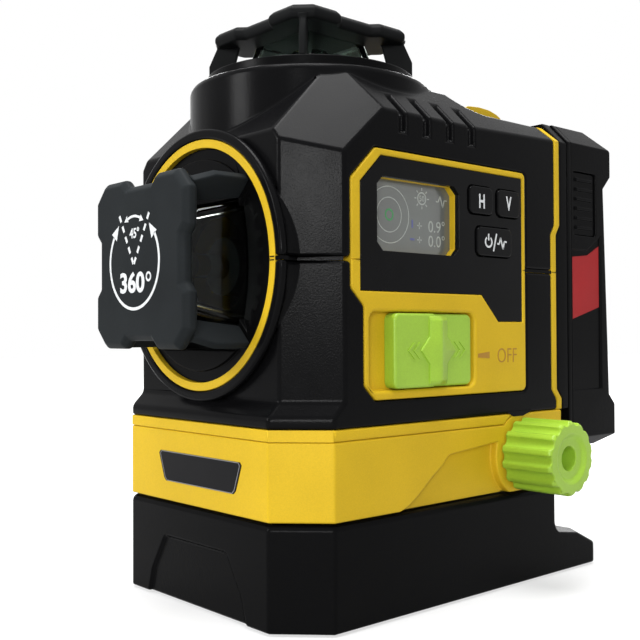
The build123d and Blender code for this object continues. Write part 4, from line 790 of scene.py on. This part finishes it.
# Marks on the three keys: H, V, and a power sign, a slash and a pulse
KEY_LINE = 0.5
PULSE = [(21.9, 93.4), (22.7, 93.4), (23.3, 95.1), (24.3, 92.1), (24.9, 94.1), (25.9, 94.1)]
h_face = front_face("h_button", "h_key", "gloss_black")
v_face = front_face("v_button", "v_key", "gloss_black")
power_face = front_face("power_button", "power_key", "gloss_black")
lettering("h_mark", "H", h_face, INK, white_print, (15.5, 104.35), width=2.3, height=3.8, weight=0.02)
lettering("v_mark", "V", v_face, INK, white_print, (27.0, 104.65), width=2.4, height=3.95, weight=0.02)
power = [
    arc_band((18.2, 93.7), radius=1.35, width=KEY_LINE, start=125, stop=415, steps=30),
    stroke((18.2, 94.1), (18.2, 95.9), KEY_LINE),
    stroke((20.2, 91.3), (21.6, 96.1), KEY_LINE),
    *zigzag(PULSE, KEY_LINE),
]
plate("power_mark", power_face, power, INK, white_print)

# Marks on the panel beside the slider, moulded in the yellow; their dark orange is painted shade
ENGRAVING = 0.08
STOP_MARK = [(13.9, 62.9), (18.7, 62.6), (18.7, 64.4), (13.9, 63.9)]
panel_face = front_face("lower_shell", "housing", "yellow_shell")
lettering("off_mark", "OFF", panel_face, ENGRAVING, engraving_shade, (26.35, 63.3), width=8.4, height=3.9,
          weight=-0.01)
plate("stop_mark", panel_face, [STOP_MARK], ENGRAVING, engraving_shade)

# Display: a target with its spot, a bulb with its level, a pulse, and two readings with their signs
SCREEN_INK = 0.03
TARGET = (-15.7, 98.7)
TARGET_RADII = (4.3, 7.0)
TARGET_LINE = 0.22
SPOT_RADIUS = 1.3
SPOT_LINE = 0.4
BULB = (-3.8, 103.7)
BULB_RADIUS = 1.5
BULB_LINE = 0.35
BULB_RAYS = 8
BULB_RAY_START = 2.0
BULB_RAY_STOP = 2.7
BULB_RAY_LINE = 0.3
SCREEN_PULSE = [(1.6, 103.4), (2.5, 103.4), (3.2, 105.0), (4.2, 102.0), (4.8, 103.9), (5.8, 103.9)]
SCREEN_PULSE_LINE = 0.35
PLUS_X = -4.75
PLUS_LEVELS = (96.7, 93.1)
PLUS_HALF = 0.85
PLUS_LINE = 0.28
SIGN_LINE = 0.5
screen_face = front_face("display_module", "housing", "display")
lines = []
for i in range(BULB_RAYS):
    angle = 360 / BULB_RAYS * i
    start, stop = around(BULB, BULB_RAY_START, angle), around(BULB, BULB_RAY_STOP, angle)
    lines.append(stroke(start, stop, BULB_RAY_LINE))
lines += zigzag(SCREEN_PULSE, SCREEN_PULSE_LINE)
for z in PLUS_LEVELS:
    lines.append(stroke((PLUS_X - PLUS_HALF, z), (PLUS_X + PLUS_HALF, z), PLUS_LINE))
    lines.append(stroke((PLUS_X, z - PLUS_HALF), (PLUS_X, z + PLUS_HALF), PLUS_LINE))
circles = [(TARGET, radius, TARGET_LINE) for radius in TARGET_RADII]
circles.append((BULB, BULB_RADIUS, BULB_LINE))
plate("screen_lines", screen_face, lines, SCREEN_INK, screen_line, rings=circles)
plate("screen_spot", screen_face, [], SCREEN_INK, screen_green, rings=[(TARGET, SPOT_RADIUS, SPOT_LINE)])
signs = [stroke((-7.4, 96.0), (-7.4, 98.0), SIGN_LINE), stroke((-8.2, 93.1), (-6.6, 93.1), SIGN_LINE)]
plate("screen_signs", screen_face, signs, SCREEN_INK, screen_blue)
lettering("screen_tilt", "0.9°", screen_face, SCREEN_INK, screen_line, (1.75, 96.85), width=6.3, height=3.1)
lettering("screen_roll", "0.0°", screen_face, SCREEN_INK, screen_line, (1.75, 93.1), width=6.3, height=3.05)
lettering("screen_level", "50", screen_face, SCREEN_INK, screen_line, BULB, width=1.9, height=1.5)

# Black plate on the yellow band, with a thin pale line inside its edge that is a painted highlight
SIDE_PLATE = [(-12.6, 31.1), (17.0, 31.1), (17.9, 31.9), (20.2, 38.2), (19.6, 38.9), (-15.2, 38.9),
              (-15.9, 38.2), (-13.5, 31.9)]
SIDE_PLATE_DEPTH = 0.15
PLATE_MIDDLE = Vector((2.15, 35.0))
HIGHLIGHT_SHARE = 0.965
HIGHLIGHT_LINE = 0.2
HIGHLIGHT_DEPTH = 0.03
band_face = left_face("lower_housing", "housing", "gloss_black")
plate("side_plate", band_face, [SIDE_PLATE], SIDE_PLATE_DEPTH, plate_black)
highlight_line = [tuple(PLATE_MIDDLE + (Vector(point) - PLATE_MIDDLE) * HIGHLIGHT_SHARE) for point in SIDE_PLATE]
plate("plate_edge_highlight", band_face, zigzag(highlight_line + highlight_line[:1], HIGHLIGHT_LINE), HIGHLIGHT_DEPTH, edge_highlight,
      lift=SIDE_PLATE_DEPTH)

# Red patch in the sunk side of the pack
RED_PATCH = [(58.2, 73.4), (72.3, 77.1), (72.3, 95.6), (66.2, 92.6), (58.2, 91.8)]
PATCH_DEPTH = 0.12
PATCH_SINK = 0.6
pack_face = front_face("pack_case", "pack", "gloss_black")
plate("red_patch", pack_face, [RED_PATCH], PATCH_DEPTH, red_label, lift=-PATCH_SINK)


# Studio: lamps by place, side and watts, all aimed at one point
LAMP_AIM = Vector((0, 0, 0.08))
LAMPS = {
    "key": ((-0.785, -0.683, 0.27), 0.2, 4.5),
    "top": ((-0.10, -0.05, 1.1), 0.6, 17.0),
    "side": ((-0.9, 0.30, 0.45), 0.25, 4.5),
    "rim": ((0.75, 0.8, 0.7), 0.6, 7.0),
}
WORLD_LIGHT = 0.38
WORLD_SEEN = 1.0
FLOOR_HALF = 2.5
FLOOR_NEAR_GLOW = 0.62
FLOOR_FAR_GLOW = 1.0
FLOOR_NEAR = 0.08
FLOOR_FAR = 0.40


def area_light(name, place, side, power):
    """A square lamp that faces the object."""
    light = bpy.data.lights.new(name, "AREA")
    light.shape = "SQUARE"
    light.size = side
    light.energy = power
    lamp = bpy.data.objects.new(name, light)
    lamp.location = place
    lamp.rotation_euler = (LAMP_AIM - Vector(place)).to_track_quat("-Z", "Y").to_euler()
    bpy.context.scene.collection.objects.link(lamp)


def seen_directly(nodes, links):
    """One where a ray comes from the camera, a reflection or through glass, else zero."""
    path = nodes.new("ShaderNodeLightPath")
    seen = path.outputs["Is Camera Ray"]
    for kind in ("Is Glossy Ray", "Is Transmission Ray"):
        either = nodes.new("ShaderNodeMath")
        either.operation = "MAXIMUM"
        links.new(seen, either.inputs[0])
        links.new(path.outputs[kind], either.inputs[1])
        seen = either.outputs[0]
    return seen


def surround():
    """A white world, at full strength where it is seen and weaker as a light."""
    world = bpy.data.worlds.new("studio")
    bpy.context.scene.world = world
    world.use_nodes = True
    nodes, links = world.node_tree.nodes, world.node_tree.links
    background = nodes["Background"]
    background.inputs["Color"].default_value = (*WHITE, 1)
    strength = nodes.new("ShaderNodeMapRange")
    strength.inputs["To Min"].default_value = WORLD_LIGHT
    strength.inputs["To Max"].default_value = WORLD_SEEN
    links.new(seen_directly(nodes, links), strength.inputs["Value"])
    links.new(strength.outputs["Result"], background.inputs["Strength"])


def floor_finish():
    """Grey floor that glows to white away from the object, where it is seen directly."""
    finish = Finish("floor")
    nodes, links = finish.nodes, finish.links
    finish.set("Base Color", (*FLOOR_GREY, 1))
    finish.set("Roughness", 0.7)
    finish.set("Specular IOR Level", 0.1)
    finish.set("Emission Color", (*WHITE, 1))
    away = nodes.new("ShaderNodeVectorMath")
    away.operation = "LENGTH"
    links.new(nodes.new("ShaderNodeTexCoord").outputs["Object"], away.inputs[0])
    whiter = finish.ramp(away.outputs["Value"], FLOOR_NEAR_GLOW, FLOOR_FAR_GLOW, FLOOR_NEAR, FLOOR_FAR)
    glow = nodes.new("ShaderNodeMath")
    glow.operation = "MULTIPLY"
    links.new(seen_directly(nodes, links), glow.inputs[0])
    links.new(whiter, glow.inputs[1])
    finish.link("Emission Strength", glow.outputs[0])
    return finish.material


for name, (place, side, power) in LAMPS.items():
    area_light(name, place, side, power)
surround()
floor_shape = bmesh.new()
bmesh.ops.create_grid(floor_shape, x_segments=4, y_segments=4, size=FLOOR_HALF)
floor_mesh = as_mesh("floor", floor_shape)
floor_mesh.materials.append(floor_finish())
floor = bpy.data.objects.new("floor", floor_mesh)
bpy.context.scene.collection.objects.link(floor)

# Camera of the photograph: place in metres, angles in degrees, lens and sensor in millimetres
CAMERA_PLACE = (-0.18492, -0.20273, 0.06929)
CAMERA_HEADING = 41.52
CAMERA_PITCH = 0.84
CAMERA_ROLL = -0.25
CAMERA_LENS = 53.86
CAMERA_CLIP = 0.01
SENSOR = 36.0

heading, pitch, roll = radians(CAMERA_HEADING), radians(CAMERA_PITCH), radians(CAMERA_ROLL)
forward = Vector((sin(heading) * cos(pitch), cos(heading) * cos(pitch), sin(pitch)))
level = Vector((cos(heading), -sin(heading), 0))
upright = level.cross(forward)
right = level * cos(roll) + upright * sin(roll)
up = right.cross(forward)
lens = bpy.data.cameras.new("camera")
lens.lens = CAMERA_LENS
lens.sensor_width = SENSOR
lens.clip_start = CAMERA_CLIP
camera = bpy.data.objects.new("camera", lens)
camera.matrix_world = Matrix.Translation(CAMERA_PLACE) @ Matrix((right, up, -forward)).transposed().to_4x4()
bpy.context.scene.collection.objects.link(camera)
bpy.context.scene.camera = camera
bpy.context.scene.view_settings.view_transform = "Standard"
